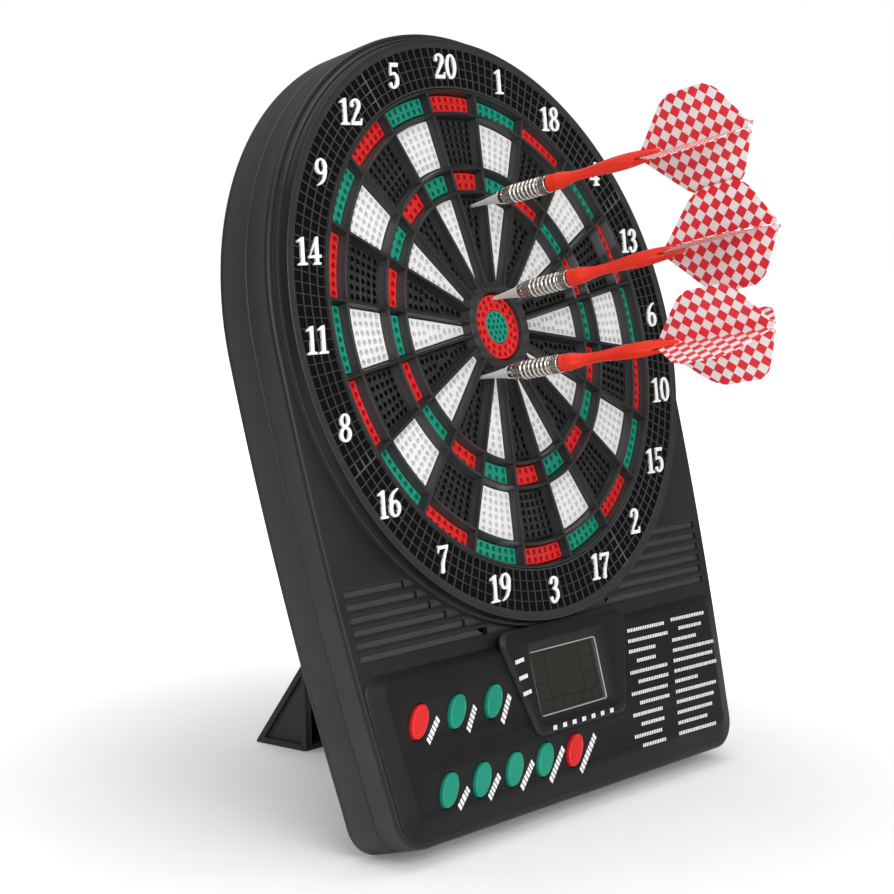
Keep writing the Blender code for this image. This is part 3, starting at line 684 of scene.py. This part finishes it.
def make_panel():
    """The raised control panel with its sloped border and its openings."""
    top = PANEL_Z
    levels = [
        (FACE_Z - 0.5, 0.0, 0), (FACE_Z + 0.35, 0.0, 0), (FACE_Z + 0.7, -0.3, 0), (FACE_Z + 0.95, -0.9, 0),
        (top - 0.25, -8.3, 0), (top - 0.08, -8.9, -0.1), (top, -9.6, -0.3),
    ]
    piece("control_panel", slab(panel_outline, control_openings(0.45), levels), "panel")


def hood_outline(grow):
    """The hood's trapezoid with round corners, wide at the top."""
    radius = HOOD_CORNER
    top = (HOOD_X + HOOD_TOP_HALF + grow - radius, HOOD_TOP_Y + grow - radius)
    bottom = (HOOD_X + HOOD_BOTTOM_HALF + grow - radius, HOOD_BOTTOM_Y - grow + radius)
    right = arc(*bottom, radius, -90, -15, 8) + arc(*top, radius, -15, 90, 8)
    return right + [(2 * HOOD_X - x, y) for x, y in reversed(right)]


def make_display():
    """The hood with its sloped recess, the silver frame, the grey display and the clear window."""
    def recess(grow):
        left, right, low, high = (grow * RECESS_WALLS[side] for side in ("left", "right", "low", "high"))
        return soft_corners(rectangle(*round_display(0.6 - left, 0.6 - right, 0.5 - low, 0.5 - high)), 3.0)

    base = PANEL_Z + 0.3
    levels = [
        (base, 0, 0.2), (base + 0.9, -0.1, 0.0), (-1.1, -1.2, -3.4), (-0.85, -1.7, -3.9),
        (HOOD_FACE_Z, -2.4, -4.5),
    ]
    piece("display_hood", slab(hood_outline, [recess], levels), "panel", replaces=["lcd_bezel"])
    frame_outer = slot_outline(*round_display(0.5, 0.3, 0.1, 0.1))
    frame_inner = slot_outline(*round_display(-0.1, -0.3, -0.5, -0.5))
    levels = [(-4.4, 0, 0), (-2.7, 0, 0), (-2.6, -0.1, -0.1)]
    trim = slab(lambda grow: frame_outer(-grow), [frame_inner], levels)
    piece("display_trim", trim, "silver")
    screen = soft_box(*round_display(0.5, 0.5, 0.5, 0.5), -8.6, -4.6, 0.6)
    piece("display_plate", screen, "display", replaces=["lcd_module"])
    window = soft_box(*round_display(-0.2, -0.4, -0.6, -0.6), -3.6, -2.8, 0.4)
    piece("display_window", window, "glass", replaces=["lcd_lens"])
    lines = []
    left, right, low, high = round_display(0, 0, 0, 0)
    for start_u, start_v, end_u, end_v in DISPLAY_LINES:
        x0, x1 = (left + (right - left) * share for share in (start_u, end_u))
        y0, y1 = (high - (high - low) * share for share in (end_v, start_v))
        half = DISPLAY_LINE_HALF
        lines.append(box(x0 - half, x1 + half, y0 - half, y1 + half, -4.9, -4.5))
    piece("display_lines", joined(lines), "segment")


# ---------------------------------------------------------------- target

def cell(inner, outer, half_wall, grow=0.0):
    """One cell of the web, centred on the top, made smaller by grow."""
    low = inner + grow
    high = outer - grow
    half_wall += grow
    low_angle = SECTOR / 2 - math.degrees(math.asin(half_wall / low))
    high_angle = SECTOR / 2 - math.degrees(math.asin(half_wall / high))
    steps = 3 if outer < 61 else 8
    outside = arc(0, 0, high, 90 - high_angle, 90 + high_angle, 8)
    return outside + arc(0, 0, low, 90 + low_angle, 90 - low_angle, steps)


def cell_hole(inner, outer, turn):
    """A cell as a hole in the web."""
    return lambda grow: turned_by(soft_corners(cell(inner, outer, WEB_HALF_WALL, grow), 0.5, 3), turn)


def make_web():
    """The black web, with thin flat ridges and walls that widen towards the back."""
    holes = [round_hole(0, 0, BULL_RADIUS, 96)]
    for index in range(len(NUMBERS)):
        for inner, outer in RINGS.values():
            holes.append(cell_hole(inner, outer, -SECTOR * index))
    levels = [(-WEB_DEPTH, 0, 0.45), (-0.35, 0, -0.2), (-0.1, -0.1, -0.3), (0, -0.3, -0.45)]
    web = slab(lambda grow: ring(TARGET_RADIUS + grow, 240), holes, levels)
    piece("web", web, "web", replaces=["spider"])


def hole_places(kind):
    """Where the holes of one kind of pad are, as (radius, degrees from the pad's middle)."""
    inner, outer = RINGS[kind]
    low = inner + PAD_GAP
    high = outer - PAD_GAP
    rows = {"inner": 11, "triple": 2, "outer": 6, "double": 2}[kind]
    fixed = {"triple": 4, "outer": 6, "double": 7}
    margin = 1.9 if kind in ("triple", "double") else 2.3
    places = []
    for row in range(rows):
        radius = low + margin + (high - low - 2 * margin) * row / (rows - 1)
        width = 2 * math.radians(SECTOR / 2) * radius - 2 * (WEB_HALF_WALL + PAD_GAP)
        count = fixed.get(kind) or max(1, int((width - 0.6) / HOLE_PITCH))
        pitch = width / count
        for column in range(count):
            offset = (column - (count - 1) / 2) * pitch
            places.append((radius, math.degrees(offset / radius)))
    return places


def dart_hole(number, kind):
    """The dart's point of entry if it is in this pad, else None."""
    for spec in DARTS.values():
        x, y = spec["at"]
        index = round((90 - math.degrees(math.atan2(y, x))) / SECTOR) % len(NUMBERS)
        inner, outer = RINGS[kind]
        if NUMBERS[index] == number and inner < math.hypot(x, y) < outer:
            return x, y
    return None


def pad_levels(back, top):
    """A pad's levels from its back to its softened face."""
    return [(back, 0, 0), (top - 0.35, 0, 0), (top - 0.1, -0.1, -0.08), (top, -0.35, -0.25)]


def move_nearest(places, entry):
    """Move the hole nearest to a dart's point of entry to that point."""
    nearest = min(places, key=lambda p: math.dist(p, entry))
    places[places.index(nearest)] = entry


def make_pad(number, turn, kind, look):
    """One scoring pad, full of holes, with the flange behind it."""
    inner, outer = RINGS[kind]
    rounding = 1.6 if kind == "inner" else 0.8

    def outline(grow):
        return soft_corners(cell(inner, outer, WEB_HALF_WALL, PAD_GAP - grow), rounding, 4)

    places = [polar(radius, math.radians(90 + angle)) for radius, angle in hole_places(kind)]
    entry = dart_hole(number, kind)
    if entry:
        entry = turned_by([entry], -turn)[0]
        move_nearest(places, entry)
    holes = [round_hole(x, y, HOLE_RADIUS + (0.2 if (x, y) == entry else 0), 14) for x, y in places]
    top = slab(outline, holes, pad_levels(PAD_BACK, PAD_TOP))
    back = plate(cell(inner, outer, WEB_HALF_WALL, -0.6), FLANGE_BACK, PAD_BACK - 0.02)
    segment = f"segment_{number}"
    replaced = [segment] if kind == "double" else []
    piece(f"pad_{number}_{kind}", joined([top, back]), look, segment, at(0, 0, turn), replaced)


def make_pads():
    """The eighty pads of the twenty sectors, in alternating colours."""
    for index, number in enumerate(NUMBERS):
        single, bonus = ("black", "red") if index % 2 == 0 else ("white", "teal")
        for kind in RINGS:
            make_pad(number, -SECTOR * index, kind, bonus if kind in ("triple", "double") else single)


def make_bull():
    """The red ring and the teal centre."""
    entry = DARTS["dart_2"]["at"]
    places = []
    for count, radius, start in ((15, 9.7, 0), (20, 12.6, 9)):
        places += [polar(radius, math.radians(start + 360 * i / count)) for i in range(count)]
    move_nearest(places, entry)
    centre = [(0.0, 0.0)]
    for count, radius in ((6, 2.9), (12, 5.6)):
        centre += [polar(radius, 2 * math.pi * i / count) for i in range(count)]
    levels = pad_levels(FLANGE_BACK, BULL_TOP)
    holes = [round_hole(x, y, 1.05 + (0.25 if (x, y) == entry else 0), 14) for x, y in places]
    middle = round_hole(0, 0, BULL_CENTRE + 0.15, 72)
    red = slab(lambda grow: ring(BULL_RADIUS - PAD_GAP + grow, 96), [middle, *holes], levels)
    piece("bull_ring", red, "red", "bull_outer", replaces=["bull_outer"])
    small = [round_hole(x, y, 0.95, 14) for x, y in centre]
    teal = slab(lambda grow: ring(BULL_CENTRE - 0.15 + grow, 72), small, levels)
    piece("bull_centre", teal, "teal", "bull_inner", replaces=["bull_inner"])


def make_number_ring():
    """The ring's body with its rim, the floor between its ribs, and the raised grid."""
    bottom = FACE_Z + 0.3
    profile = [
        (RING_INNER, bottom), (RING_INNER, -0.15), (RING_INNER + 0.15, 0), (RING_INNER + 0.7, 0),
        (RING_INNER + 0.85, GRID_FLOOR), (RING_RIM - 0.1, GRID_FLOOR), (RING_RIM, -0.15),
        (RING_RIM + 0.15, 0), (130.3, 0), (130.55, -0.06), (130.75, -0.25), (130.8, -0.5), (131.1, -3.7),
        (131.3, -3.95), (131.9, -4.0), (132.3, -4.1), (132.55, -4.4), (RING_OUTER - 0.1, -6.0),
        (RING_OUTER, bottom),
    ]
    piece("number_ring_body", lathe(profile, 240), "ring", replaces=["number_ring"])
    inside = ring(RING_INNER + 0.9, 240)
    floor = plate(ring(RING_RIM - 0.2, 240), GRID_FLOOR - 0.1, GRID_FLOOR + 0.03, [inside])
    piece("number_ring_floor", floor, "ring_floor")
    piece("number_ring_grid", ring_grid(), "rib")


def ring_grid():
    """The number ring's ribs: circles and spokes with softened tops, with open cells between them."""
    low, high = RING_INNER + 0.6, RING_RIM - 0.05
    pitch = (high - low) / GRID_ROWS
    columns = round(360 / GRID_STEP)
    work = bmesh.new()
    levels = []
    for z, half in ((GRID_FLOOR, RIB_HALF + 0.1), (GRID_TOP - 0.08, RIB_HALF), (GRID_TOP, RIB_HALF - 0.07)):
        radii = [low]
        for row in range(GRID_ROWS + 1):
            radii += [low + pitch * row - half, low + pitch * row + half]
        radii = [low] + radii[2:-1] + [high]
        sheet = []
        for radius in radii:
            spread_angle = math.degrees(half / radius)
            angles = []
            for column in range(columns):
                angles += [column * GRID_STEP - spread_angle, column * GRID_STEP + spread_angle]
            sheet.append([vertex(work, *polar(radius, math.radians(angle)), z) for angle in angles])
        levels.append(sheet)
    rows, around = len(levels[0]) - 1, 2 * columns

    def open_cell(row, column):
        return 0 <= row < rows and row % 2 == 1 and column % 2 == 1

    for row in range(rows):
        for column in range(around):
            after = (column + 1) % around
            corners = ((row, column), (row + 1, column), (row + 1, after), (row, after))
            if not open_cell(row, column):
                for sheet in (levels[0], levels[-1]):
                    work.faces.new([sheet[i][j] for i, j in corners])
                continue
            for start, end in zip(corners, corners[1:] + corners[:1]):
                wall_faces(work, levels, start, end)
    for row in (0, rows):
        for column in range(around):
            wall_faces(work, levels, (row, column), (row, (column + 1) % around))
    return mesh_of(work)


def wall_faces(work, levels, start, end):
    """Faces up through the levels between two columns of points."""
    for lower, upper in zip(levels, levels[1:]):
        corners = ((lower, start), (lower, end), (upper, end), (upper, start))
        work.faces.new([sheet[row][column] for sheet, (row, column) in corners])


# ---------------------------------------------------------------- numerals

def ellipse(x, y, rx, ry, steps=40):
    """An ellipse."""
    angles = [2 * math.pi * i / steps for i in range(steps)]
    return [(x + rx * math.cos(a), y + ry * math.sin(a)) for a in angles]


def stroke(points, widths, steps=8):
    """The outline of a pen stroke through points, with a width at each of them and round ends."""
    line = []
    count = len(points)
    for i in range(count - 1):
        p = [Vector(points[max(0, min(count - 1, i + k))]) for k in (-1, 0, 1, 2)]
        for step in range(steps):
            t = step / steps
            place = 0.5 * (
                2 * p[1] + (p[2] - p[0]) * t + (2 * p[0] - 5 * p[1] + 4 * p[2] - p[3]) * t ** 2
                + (3 * p[1] - p[0] - 3 * p[2] + p[3]) * t ** 3
            )
            line.append((place, widths[i] + (widths[i + 1] - widths[i]) * t))
    line.append((Vector(points[-1]), widths[-1]))
    left, right = [], []
    for i, (place, width) in enumerate(line):
        along = (line[min(i + 1, len(line) - 1)][0] - line[max(i - 1, 0)][0]).normalized()
        across = Vector((-along.y, along.x)) * width / 2
        left.append(place + across)
        right.append(place - across)
    ends = []
    for (place, width), start in ((line[-1], left[-1]), (line[0], right[0])):
        spoke = start - place
        for step in range(1, 6):
            ends.append(place + spoke @ Matrix.Rotation(math.pi * step / 6, 2))
    return [tuple(p) for p in left + ends[:5] + right[::-1] + ends[5:]]


# The digits, in units of their height: each is a list of parts, and each part is an outline and its holes.
BALL = 0.17
THICK = 0.18
THIN = 0.085
GLYPHS = {
    0: [[ellipse(0.32, 0.5, 0.32, 0.5), ellipse(0.32, 0.5, 0.135, 0.405)]],
    1: [
        [[(0.2, 0.03), (0.38, 0.03), (0.38, 1.0), (0.27, 1.0), (0.04, 0.88), (0.05, 0.81), (0.2, 0.85)]],
        [[(0.05, 0), (0.53, 0), (0.53, 0.06), (0.40, 0.10), (0.18, 0.10), (0.05, 0.06)]],
    ],
    2: [
        [stroke([(0.12, 0.75), (0.13, 0.88), (0.31, 0.955), (0.47, 0.84), (0.46, 0.66), (0.28, 0.38),
                 (0.09, 0.1)], [BALL, 0.11, THIN, THICK, THICK, 0.12, THIN])],
        [[(0.03, 0), (0.6, 0), (0.64, 0.26), (0.57, 0.26), (0.53, 0.14), (0.05, 0.14)]],
    ],
    3: [
        [stroke([(0.12, 0.8), (0.16, 0.92), (0.32, 0.955), (0.46, 0.83), (0.43, 0.64), (0.25, 0.545)],
                [BALL, 0.10, THIN, THICK, 0.15, 0.07])],
        [stroke([(0.25, 0.545), (0.46, 0.45), (0.5, 0.25), (0.36, 0.07), (0.2, 0.05), (0.11, 0.18)],
                [0.07, 0.15, THICK, 0.11, THIN, BALL])],
    ],
    4: [
        [[(0.35, 0.03), (0.53, 0.03), (0.53, 1.0), (0.44, 1.0), (0.35, 0.85)]],
        [[(0.02, 0.24), (0.66, 0.24), (0.66, 0.35), (0.02, 0.33)]],
        [[(0.02, 0.26), (0.11, 0.33), (0.47, 0.97), (0.42, 1.0)]],
        [[(0.25, 0), (0.63, 0), (0.63, 0.06), (0.54, 0.09), (0.34, 0.09), (0.25, 0.06)]],
    ],
    5: [
        [[(0.11, 1.0), (0.57, 1.0), (0.55, 0.85), (0.19, 0.85), (0.17, 0.52), (0.10, 0.52)]],
        [stroke([(0.135, 0.53), (0.22, 0.58), (0.38, 0.57), (0.49, 0.42), (0.48, 0.2), (0.34, 0.06),
                 (0.2, 0.05), (0.12, 0.16)], [0.07, THIN, 0.12, THICK, THICK, 0.11, THIN, BALL])],
    ],
    6: [
        [ellipse(0.33, 0.3, 0.31, 0.3), ellipse(0.34, 0.29, 0.13, 0.215)],
        [stroke([(0.115, 0.33), (0.14, 0.6), (0.27, 0.84), (0.53, 0.98)], [0.17, 0.16, 0.12, 0.05])],
    ],
    7: [
        [[(0.05, 1.0), (0.11, 0.97), (0.62, 0.97), (0.62, 0.88), (0.56, 0.84), (0.12, 0.84), (0.09, 0.72),
          (0.03, 0.72)]],
        [stroke([(0.57, 0.88), (0.38, 0.52), (0.28, 0.25), (0.27, 0.07)], [THIN, 0.12, 0.17, 0.19])],
    ],
    8: [
        [ellipse(0.32, 0.755, 0.26, 0.245), ellipse(0.32, 0.765, 0.10, 0.165)],
        [ellipse(0.32, 0.275, 0.31, 0.275), ellipse(0.32, 0.27, 0.135, 0.19)],
    ],
}
GLYPHS[9] = [[[(0.66 - x, 1 - y) for x, y in loop] for loop in part] for part in GLYPHS[6]]
GLYPH_WIDTH = {1: 0.56, 4: 0.68}


def make_numerals():
    """The white numbers, upright on the ring."""
    for index, number in enumerate(NUMBERS):
        angle = math.radians(90 - SECTOR * index)
        digits = [int(d) for d in str(number)]
        widths = [GLYPH_WIDTH.get(d, 0.65) + 0.02 for d in digits]
        x = -sum(widths) / 2
        mesh = None
        for digit, width in zip(digits, widths):
            for part in GLYPHS[digit]:
                solid = numeral_part(part, x, angle)
                mesh = combined(mesh, solid, "UNION") if mesh else solid
            x += width
        piece(f"numeral_{number}", mesh, "ink")


def numeral_part(part, shift, angle):
    """One stroke of a numeral as a raised solid."""
    middle = Vector((math.cos(angle), math.sin(angle))) * NUMERAL_RADIUS

    def placed(loop):
        result = []
        for x, y in loop:
            up = (y - 0.5) * NUMERAL_HEIGHT
            result.append((middle.x + (x + shift) * NUMERAL_HEIGHT + up * NUMERAL_SHEAR, middle.y + up))
        return result

    outline, *holes = [placed(loop) for loop in part]
    return plate(outline, GRID_FLOOR, 0.0, holes)


# ---------------------------------------------------------------- buttons and printed marks

def button_outline(x, y, clearance=0.0):
    """A slanted oval round a button's centre, as a function of how much material is added outside it."""
    def outline(grow):
        spare = clearance - grow
        oval = ellipse(0, 0, BUTTON_HALF_LENGTH + spare, BUTTON_HALF_WIDTH + spare, 56)
        return [(x + px, y + py) for px, py in turned_by(oval, BUTTON_SLANT)]

    return outline


def make_buttons():
    """Oval buttons: a sloped flank, a thin raised rim and a slightly domed face."""
    top = BUTTON_TOP
    levels = [
        (-10.5, 1.6, 0), (-9.5, 1.6, 0), (-9.48, 0, 0), (top - 1.0, 0, 0), (top - 0.25, -0.3, 0),
        (top - 0.08, -0.42, 0), (top, -0.6, 0), (top, -0.78, 0), (top - 0.14, -0.95, 0), (top - 0.1, -2.0, 0),
        (top - 0.06, -3.0, 0),
    ]
    outline = button_outline(0, 0)
    for name, (x, y, look) in BUTTONS.items():
        button = f"button_{name}"
        cap_shape = slab(lambda grow: outline(-grow), [], levels)
        piece(f"button_cap_{name}", cap_shape, look, button, at(x, y), replaces=[button])


def print_blocks(rng, start, end, height, block, gap, z):
    """A printed word stood in for by a row of small slanted blocks between two points."""
    start, end = Vector(start), Vector(end)
    length = (end - start).length
    turn = Matrix.Rotation((end - start).angle_signed(Vector((1, 0))), 4, "Z")
    slant = Matrix.Identity(4)
    slant[0][1] = 0.2
    blocks = []
    along = 0.0
    while along < length - block * 0.6:
        width = min(block * rng.uniform(0.75, 1.2), length - along)
        solid = box(along, along + width, -height / 2, height / 2, z - 0.02, z + PRINT_THICK)
        solid.transform(Matrix.Translation((start.x * MM, start.y * MM, 0)) @ turn @ slant)
        blocks.append(solid)
        along += width + gap
    return blocks


def make_marks():
    """Plain printed blocks beside the buttons, round the display and on the right of the panel."""
    rng = random.Random(7)
    words = []
    for start, end in BUTTON_WORDS:
        words += print_blocks(rng, start, end, 2.7, 1.75, 0.55, PANEL_Z)
    piece("button_words", joined(words), "ink")
    rows = []
    for first_x, indented, lengths in ROW_COLUMNS:
        for row, length in enumerate(lengths):
            y = ROW_TOP_Y - ROW_PITCH * row
            x = first_x - ROW_SLANT * ROW_PITCH * row + ROW_INDENT * (row in indented)
            rows += print_blocks(rng, (x, y), (x + length, y - 0.02 * length), 1.55, 0.9, 0.5, PANEL_Z)
    piece("panel_rows", joined(rows), "ink")
    small = []
    for x, y in ((-36.6, -145.0), (-36.2, -152.1), (-35.6, -158.9)):
        small += print_blocks(rng, (x, y), (x + 6.4, y + 0.6), 1.7, 1.0, 0.25, HOOD_FACE_Z)
    for step in range(7):
        x = -20.3 + 7.0 * step
        small += print_blocks(rng, (x, -176.2), (x + 2.7, -176.2), 1.9, 1.25, 0.25, HOOD_FACE_Z)
    piece("display_marks", joined(small), "ink")


# ---------------------------------------------------------------- leg

def to_board(depth, height):
    """A point given by its depth behind the target's centre and its height, as board (y, z), in mm."""
    up = height - CENTRE.z / MM
    y = depth * math.sin(LEAN) + up * math.cos(LEAN)
    z = -depth * math.cos(LEAN) + up * math.sin(LEAN)
    return y, z


def make_leg():
    """The leg: two side plates, each with a rim round a sunk panel in its foot, a back wall and a sole."""
    x0, x1 = LEG_LEFT, LEG_LEFT + LEG_WIDTH
    hinge = Vector((107.0, BACK_Z - 6.0))
    toe, heel = Vector(to_board(*FOOT_TOE)), Vector(to_board(*FOOT_HEEL))
    peak, knee = Vector(to_board(*FOOT_PEAK)), Vector(to_board(*FOOT_KNEE))
    along = (knee - hinge).normalized()
    across = Vector((-along.y, along.x))
    half = LEG_THICK / 2
    outline = [hinge - across * half, knee - across * 2 * half, peak, toe, heel, knee, hinge + across * half]
    panel = [to_board(*point) for point in FOOT_PANEL]
    parts = [
        prism(outline, x0, x0 + 1.6, 1.6, panel), prism(outline, x0 + 1.6, x0 + 2.4, 1.6),
        prism(outline, x1 - 2.4, x1 - 1.6, 1.6), prism(outline, x1 - 1.6, x1, 1.6, panel),
    ]
    wall = (heel - knee).normalized()
    rise = (peak - toe).normalized()
    forward = (toe - heel).normalized()
    back = [
        hinge + along * 8 + across * (half - 2.4), hinge + along * 8 + across * half, knee, heel - wall * 2,
        heel - wall * 2 + forward * 3.0, knee + wall * 2 - across * 2.2,
    ]
    parts.append(prism(back, x0 + 1, x1 - 1))
    sole = [toe - forward * 1.0, heel + forward * 3.0, heel + rise * 2.6 + forward * 4.0, toe + rise * 2.6]
    parts.append(prism(sole, x0 + 1, x1 - 1))
    lip = [toe + rise * 1.5, toe - forward * 2.2 + rise * 1.5, peak - forward * 2.2, peak]
    for low, high in ((x0 + 0.5, x0 + 4.0), (x1 - 4.0, x1 - 0.5)):
        parts.append(prism(lip, low, high, 0.6))
    middle = (x0 + x1) / 2
    barrel = lathe([(1.8, x0 - middle), (4.4, x0 - middle), (4.4, x1 - middle), (1.8, x1 - middle)], 48)
    barrel.transform(Matrix.Translation(Vector((middle, *hinge)) * MM) @ Matrix.Rotation(math.pi / 2, 4, "Y"))
    parts.append(barrel)
    piece("leg", joined(parts), "case", "stand_leg", replaces=["stand_leg"])


# ---------------------------------------------------------------- darts

def dart_place(spec):
    """A dart's own frame on the board: its Z runs along the dart, outwards."""
    axis = Vector(spec["axis"]).normalized()
    turn = math.radians(spec["turn"])
    wing = Vector((math.cos(turn), math.sin(turn), 0))
    wing = (wing - axis * wing.dot(axis)).normalized()
    matrix = Matrix((wing, axis.cross(wing), axis)).transposed().to_4x4()
    matrix.translation = Vector((*spec["at"], DART_BASE_Z)) * MM
    return matrix


def barrel_radius(z, angle):
    """The barrel's radius: a smooth nose, a diamond knurl, deep turned rings and more knurl."""
    nose = min(1.0, (z - BARREL_START) / 7.0)
    body = 3.05 + 1.05 * math.sin(nose * math.pi / 2)
    if z < BARREL_START + 2.6 or z > SHAFT_START - 0.7:
        return min(body, 3.75)
    along = (z - BARREL_START) / (SHAFT_START - BARREL_START)
    knurl = 0.0
    for sign in (-1, 1):
        knurl += 0.13 * abs(math.sin(7 * angle + sign * z * 2.2))
    if 0.26 < along < 0.84:
        groove = max(0.0, math.cos(2 * math.pi * z / RING_PITCH)) ** 0.7
        return body - 0.05 - 0.42 * groove + 0.4 * knurl * (1 - groove)
    return body - 0.3 + knurl


def make_barrel():
    """A knurled barrel, from rings of points whose radius follows the pattern."""
    work = bmesh.new()
    steps, levels = 84, 190
    angles = [2 * math.pi * step / steps for step in range(steps)]
    rings = []
    end = SHAFT_START - 0.15
    for level in range(levels + 1):
        z = BARREL_START + (end - BARREL_START) * level / levels
        rings.append([vertex(work, *polar(barrel_radius(z, angle), angle), z) for angle in angles])
    for low, high in zip(rings, rings[1:]):
        band(work, low, high)
    work.faces.new(rings[0])
    work.faces.new(rings[-1])
    return mesh_of(work)


def make_flight():
    start = FLIGHT_START
    edge = [(0.0, start), (18.2, start + 18.2), (21.8, start + 24), (21.8, start + 42), (19.0, start + 47.5),
            (1.5, DART_END - 0.3), (0.0, DART_END - 0.3)]
    edge = soft_corners(edge, 4.0, 6, False)
    half = 0.17
    wings = []
    for quarter in range(4):
        wing = plate(edge, -half, half)
        wing.transform(Matrix.Rotation(math.pi / 2 * quarter, 4, "Z") @ Matrix.Rotation(math.pi / 2, 4, "X"))
        wings.append(wing)
    mesh = joined(wings)
    uv = mesh.uv_layers.new(name="UVMap")
    for loop in mesh.loops:
        x, y, z = mesh.vertices[loop.vertex_index].co / MM
        uv.data[loop.index].uv = (x if abs(x) > abs(y) else y, z)
    return mesh


def make_darts():
    """Three darts, each a tip, a barrel, a split shaft and a flight."""
    tip = [
        (0, -5.1), (0.5, -5.1), (0.7, -4.7), (0.8, 0), (1.15, 5), (1.75, 10), (2.35, 14.2), (2.5, 15.2),
        (2.85, 15.4), (2.85, BARREL_START - 0.1), (0, BARREL_START - 0.1),
    ]
    shaft = [
        (0, SHAFT_START), (3.5, SHAFT_START), (3.75, SHAFT_START + 0.3), (3.8, 46.2), (3.65, 46.6),
        (3.65, 47.6), (3.75, 48.2), (3.7, 50.2), (3.4, 52.2), (2.8, 55.4), (2.4, 58.4), (2.25, 61.5),
        (2.3, 66), (2.6, 71), (3.0, 76), (3.25, 81), (3.3, 86), (3.15, 91), (2.75, 96.5), (2.35, 101),
        (2.0, 104.4), (1.4, SHAFT_END - 0.3), (0, SHAFT_END),
    ]
    for name, spec in DARTS.items():
        place = dart_place(spec)
        split = lathe(shaft, 56)
        for wide, deep in ((5, 0.4), (0.4, 5)):
            cut = box(-wide, wide, -deep, deep, FLIGHT_START - 0.4, SHAFT_END + 1)
            split = combined(split, cut, "DIFFERENCE")
        for part, mesh, look, slot in (
            ("tip", lathe(tip, 40), "tip", "tip"),
            ("barrel", make_barrel(), "nickel", "nickel"),
            ("shaft", split, "orange", "shaft_orange"),
            ("flight", make_flight(), "flight", "flight"),
        ):
            piece(f"{name}_{part}_detail", mesh, look, name, place, [f"{name}_{part}"])


def dress_cad_nodes():
    """Finishes for the CAD nodes that stay in view."""
    looks = {
        "battery_door": "case", "leg_bracket": "case", "stand_pin": "steel", "rubber_foot": "rubber",
        "sensor_mat": "rubber", "button_pad": "rubber", "main_board": "green", "speaker": "steel",
        "battery_1": "battery", "battery_2": "battery",
    }
    for name, look in looks.items():
        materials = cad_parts[name].data.materials
        materials.clear()
        materials.append(LOOKS[look])


# ---------------------------------------------------------------- light, floor and camera

def softbox(name, place, target, size, power):
    """A square area light that faces a point."""
    data = bpy.data.lights.new(name, "AREA")
    data.size = size
    data.energy = power
    light = add_object(name, data)
    light.location = place
    light.rotation_euler = (Vector(target) - Vector(place)).to_track_quat("-Z", "Y").to_euler()


def pale_floor(name):
    """A pale floor that brightens to the same white as the surround away from the board."""
    result = finish_of(name, (0.93, 0.93, 0.93), 0.8, grain=60, bump=0.02, vary=0.01, specular=0.2)
    tree = result.node_tree
    shader = tree.nodes["Principled BSDF"]
    coordinates = tree.nodes.new("ShaderNodeTexCoord")
    distance = tree.nodes.new("ShaderNodeVectorMath")
    distance.operation = "LENGTH"
    sweep = spread(tree, distance.outputs["Value"], 0.12, 1, FLOOR_SHADED, FLOOR_WHITE)
    sweep.node.interpolation_type = "SMOOTHSTEP"
    seen = tree.nodes.new("ShaderNodeLightPath")
    glow = tree.nodes.new("ShaderNodeMath")
    glow.operation = "MULTIPLY"
    shader.inputs["Emission Color"].default_value = (1, 1, 1, 1)
    tree.links.new(coordinates.outputs["Object"], distance.inputs[0])
    tree.links.new(sweep, glow.inputs[0])
    tree.links.new(seen.outputs["Is Camera Ray"], glow.inputs[1])
    tree.links.new(glow.outputs["Value"], shader.inputs["Emission Strength"])
    return result


def make_stage():
    """A pale floor that sweeps to the horizon, soft boxes, and a pale surround."""
    bpy.ops.mesh.primitive_plane_add(size=12, location=(0, 0, 0))
    floor = bpy.context.object
    floor.name = "floor"
    floor.data.materials.append(pale_floor("floor_pale"))
    world = bpy.data.worlds.new("surround")
    bpy.context.scene.world = world
    world.use_nodes = True
    tree = world.node_tree
    background = tree.nodes["Background"]
    background.inputs["Color"].default_value = (1, 1, 1, 1)
    seen = tree.nodes.new("ShaderNodeLightPath").outputs["Is Camera Ray"]
    tree.links.new(spread(tree, seen, SURROUND_LIGHT, 1, 0, 1), background.inputs["Strength"])
    for name, (place, height, size, power) in LIGHTS.items():
        softbox(name, place, (0, 0, height), size, power)


def make_camera():
    """The photograph's viewpoint: front left, a little above the target's centre, with a long lens."""
    data = bpy.data.cameras.new("camera")
    data.lens = CAMERA_LENS
    data.sensor_width = 36.0
    data.clip_start = 0.05
    camera = add_object("camera", data)
    heading, dip = math.radians(CAMERA_HEADING), math.radians(CAMERA_DIP)
    aim = Vector((math.sin(heading) * math.cos(dip), math.cos(heading) * math.cos(dip), -math.sin(dip)))
    place = Matrix.Translation(CENTRE + Vector(CAMERA_PLACE))
    place = place @ aim.to_track_quat("-Z", "Y").to_matrix().to_4x4()
    roll = Matrix.Rotation(math.radians(CAMERA_ROLL), 4, "Z")
    settle = Matrix.Translation((CAMERA_SHIFT * MM, 0, 0)) @ roll
    camera.matrix_world = BOARD @ settle.inverted() @ BOARD.inverted() @ place
    bpy.context.scene.camera = camera


make_front_case()
make_rear_case()
make_panel()
make_display()
make_web()
make_pads()
make_bull()
make_number_ring()
make_numerals()
make_buttons()
make_marks()
make_leg()
make_darts()
dress_cad_nodes()
make_stage()
make_camera()
bpy.context.scene.view_settings.view_transform = "Standard"
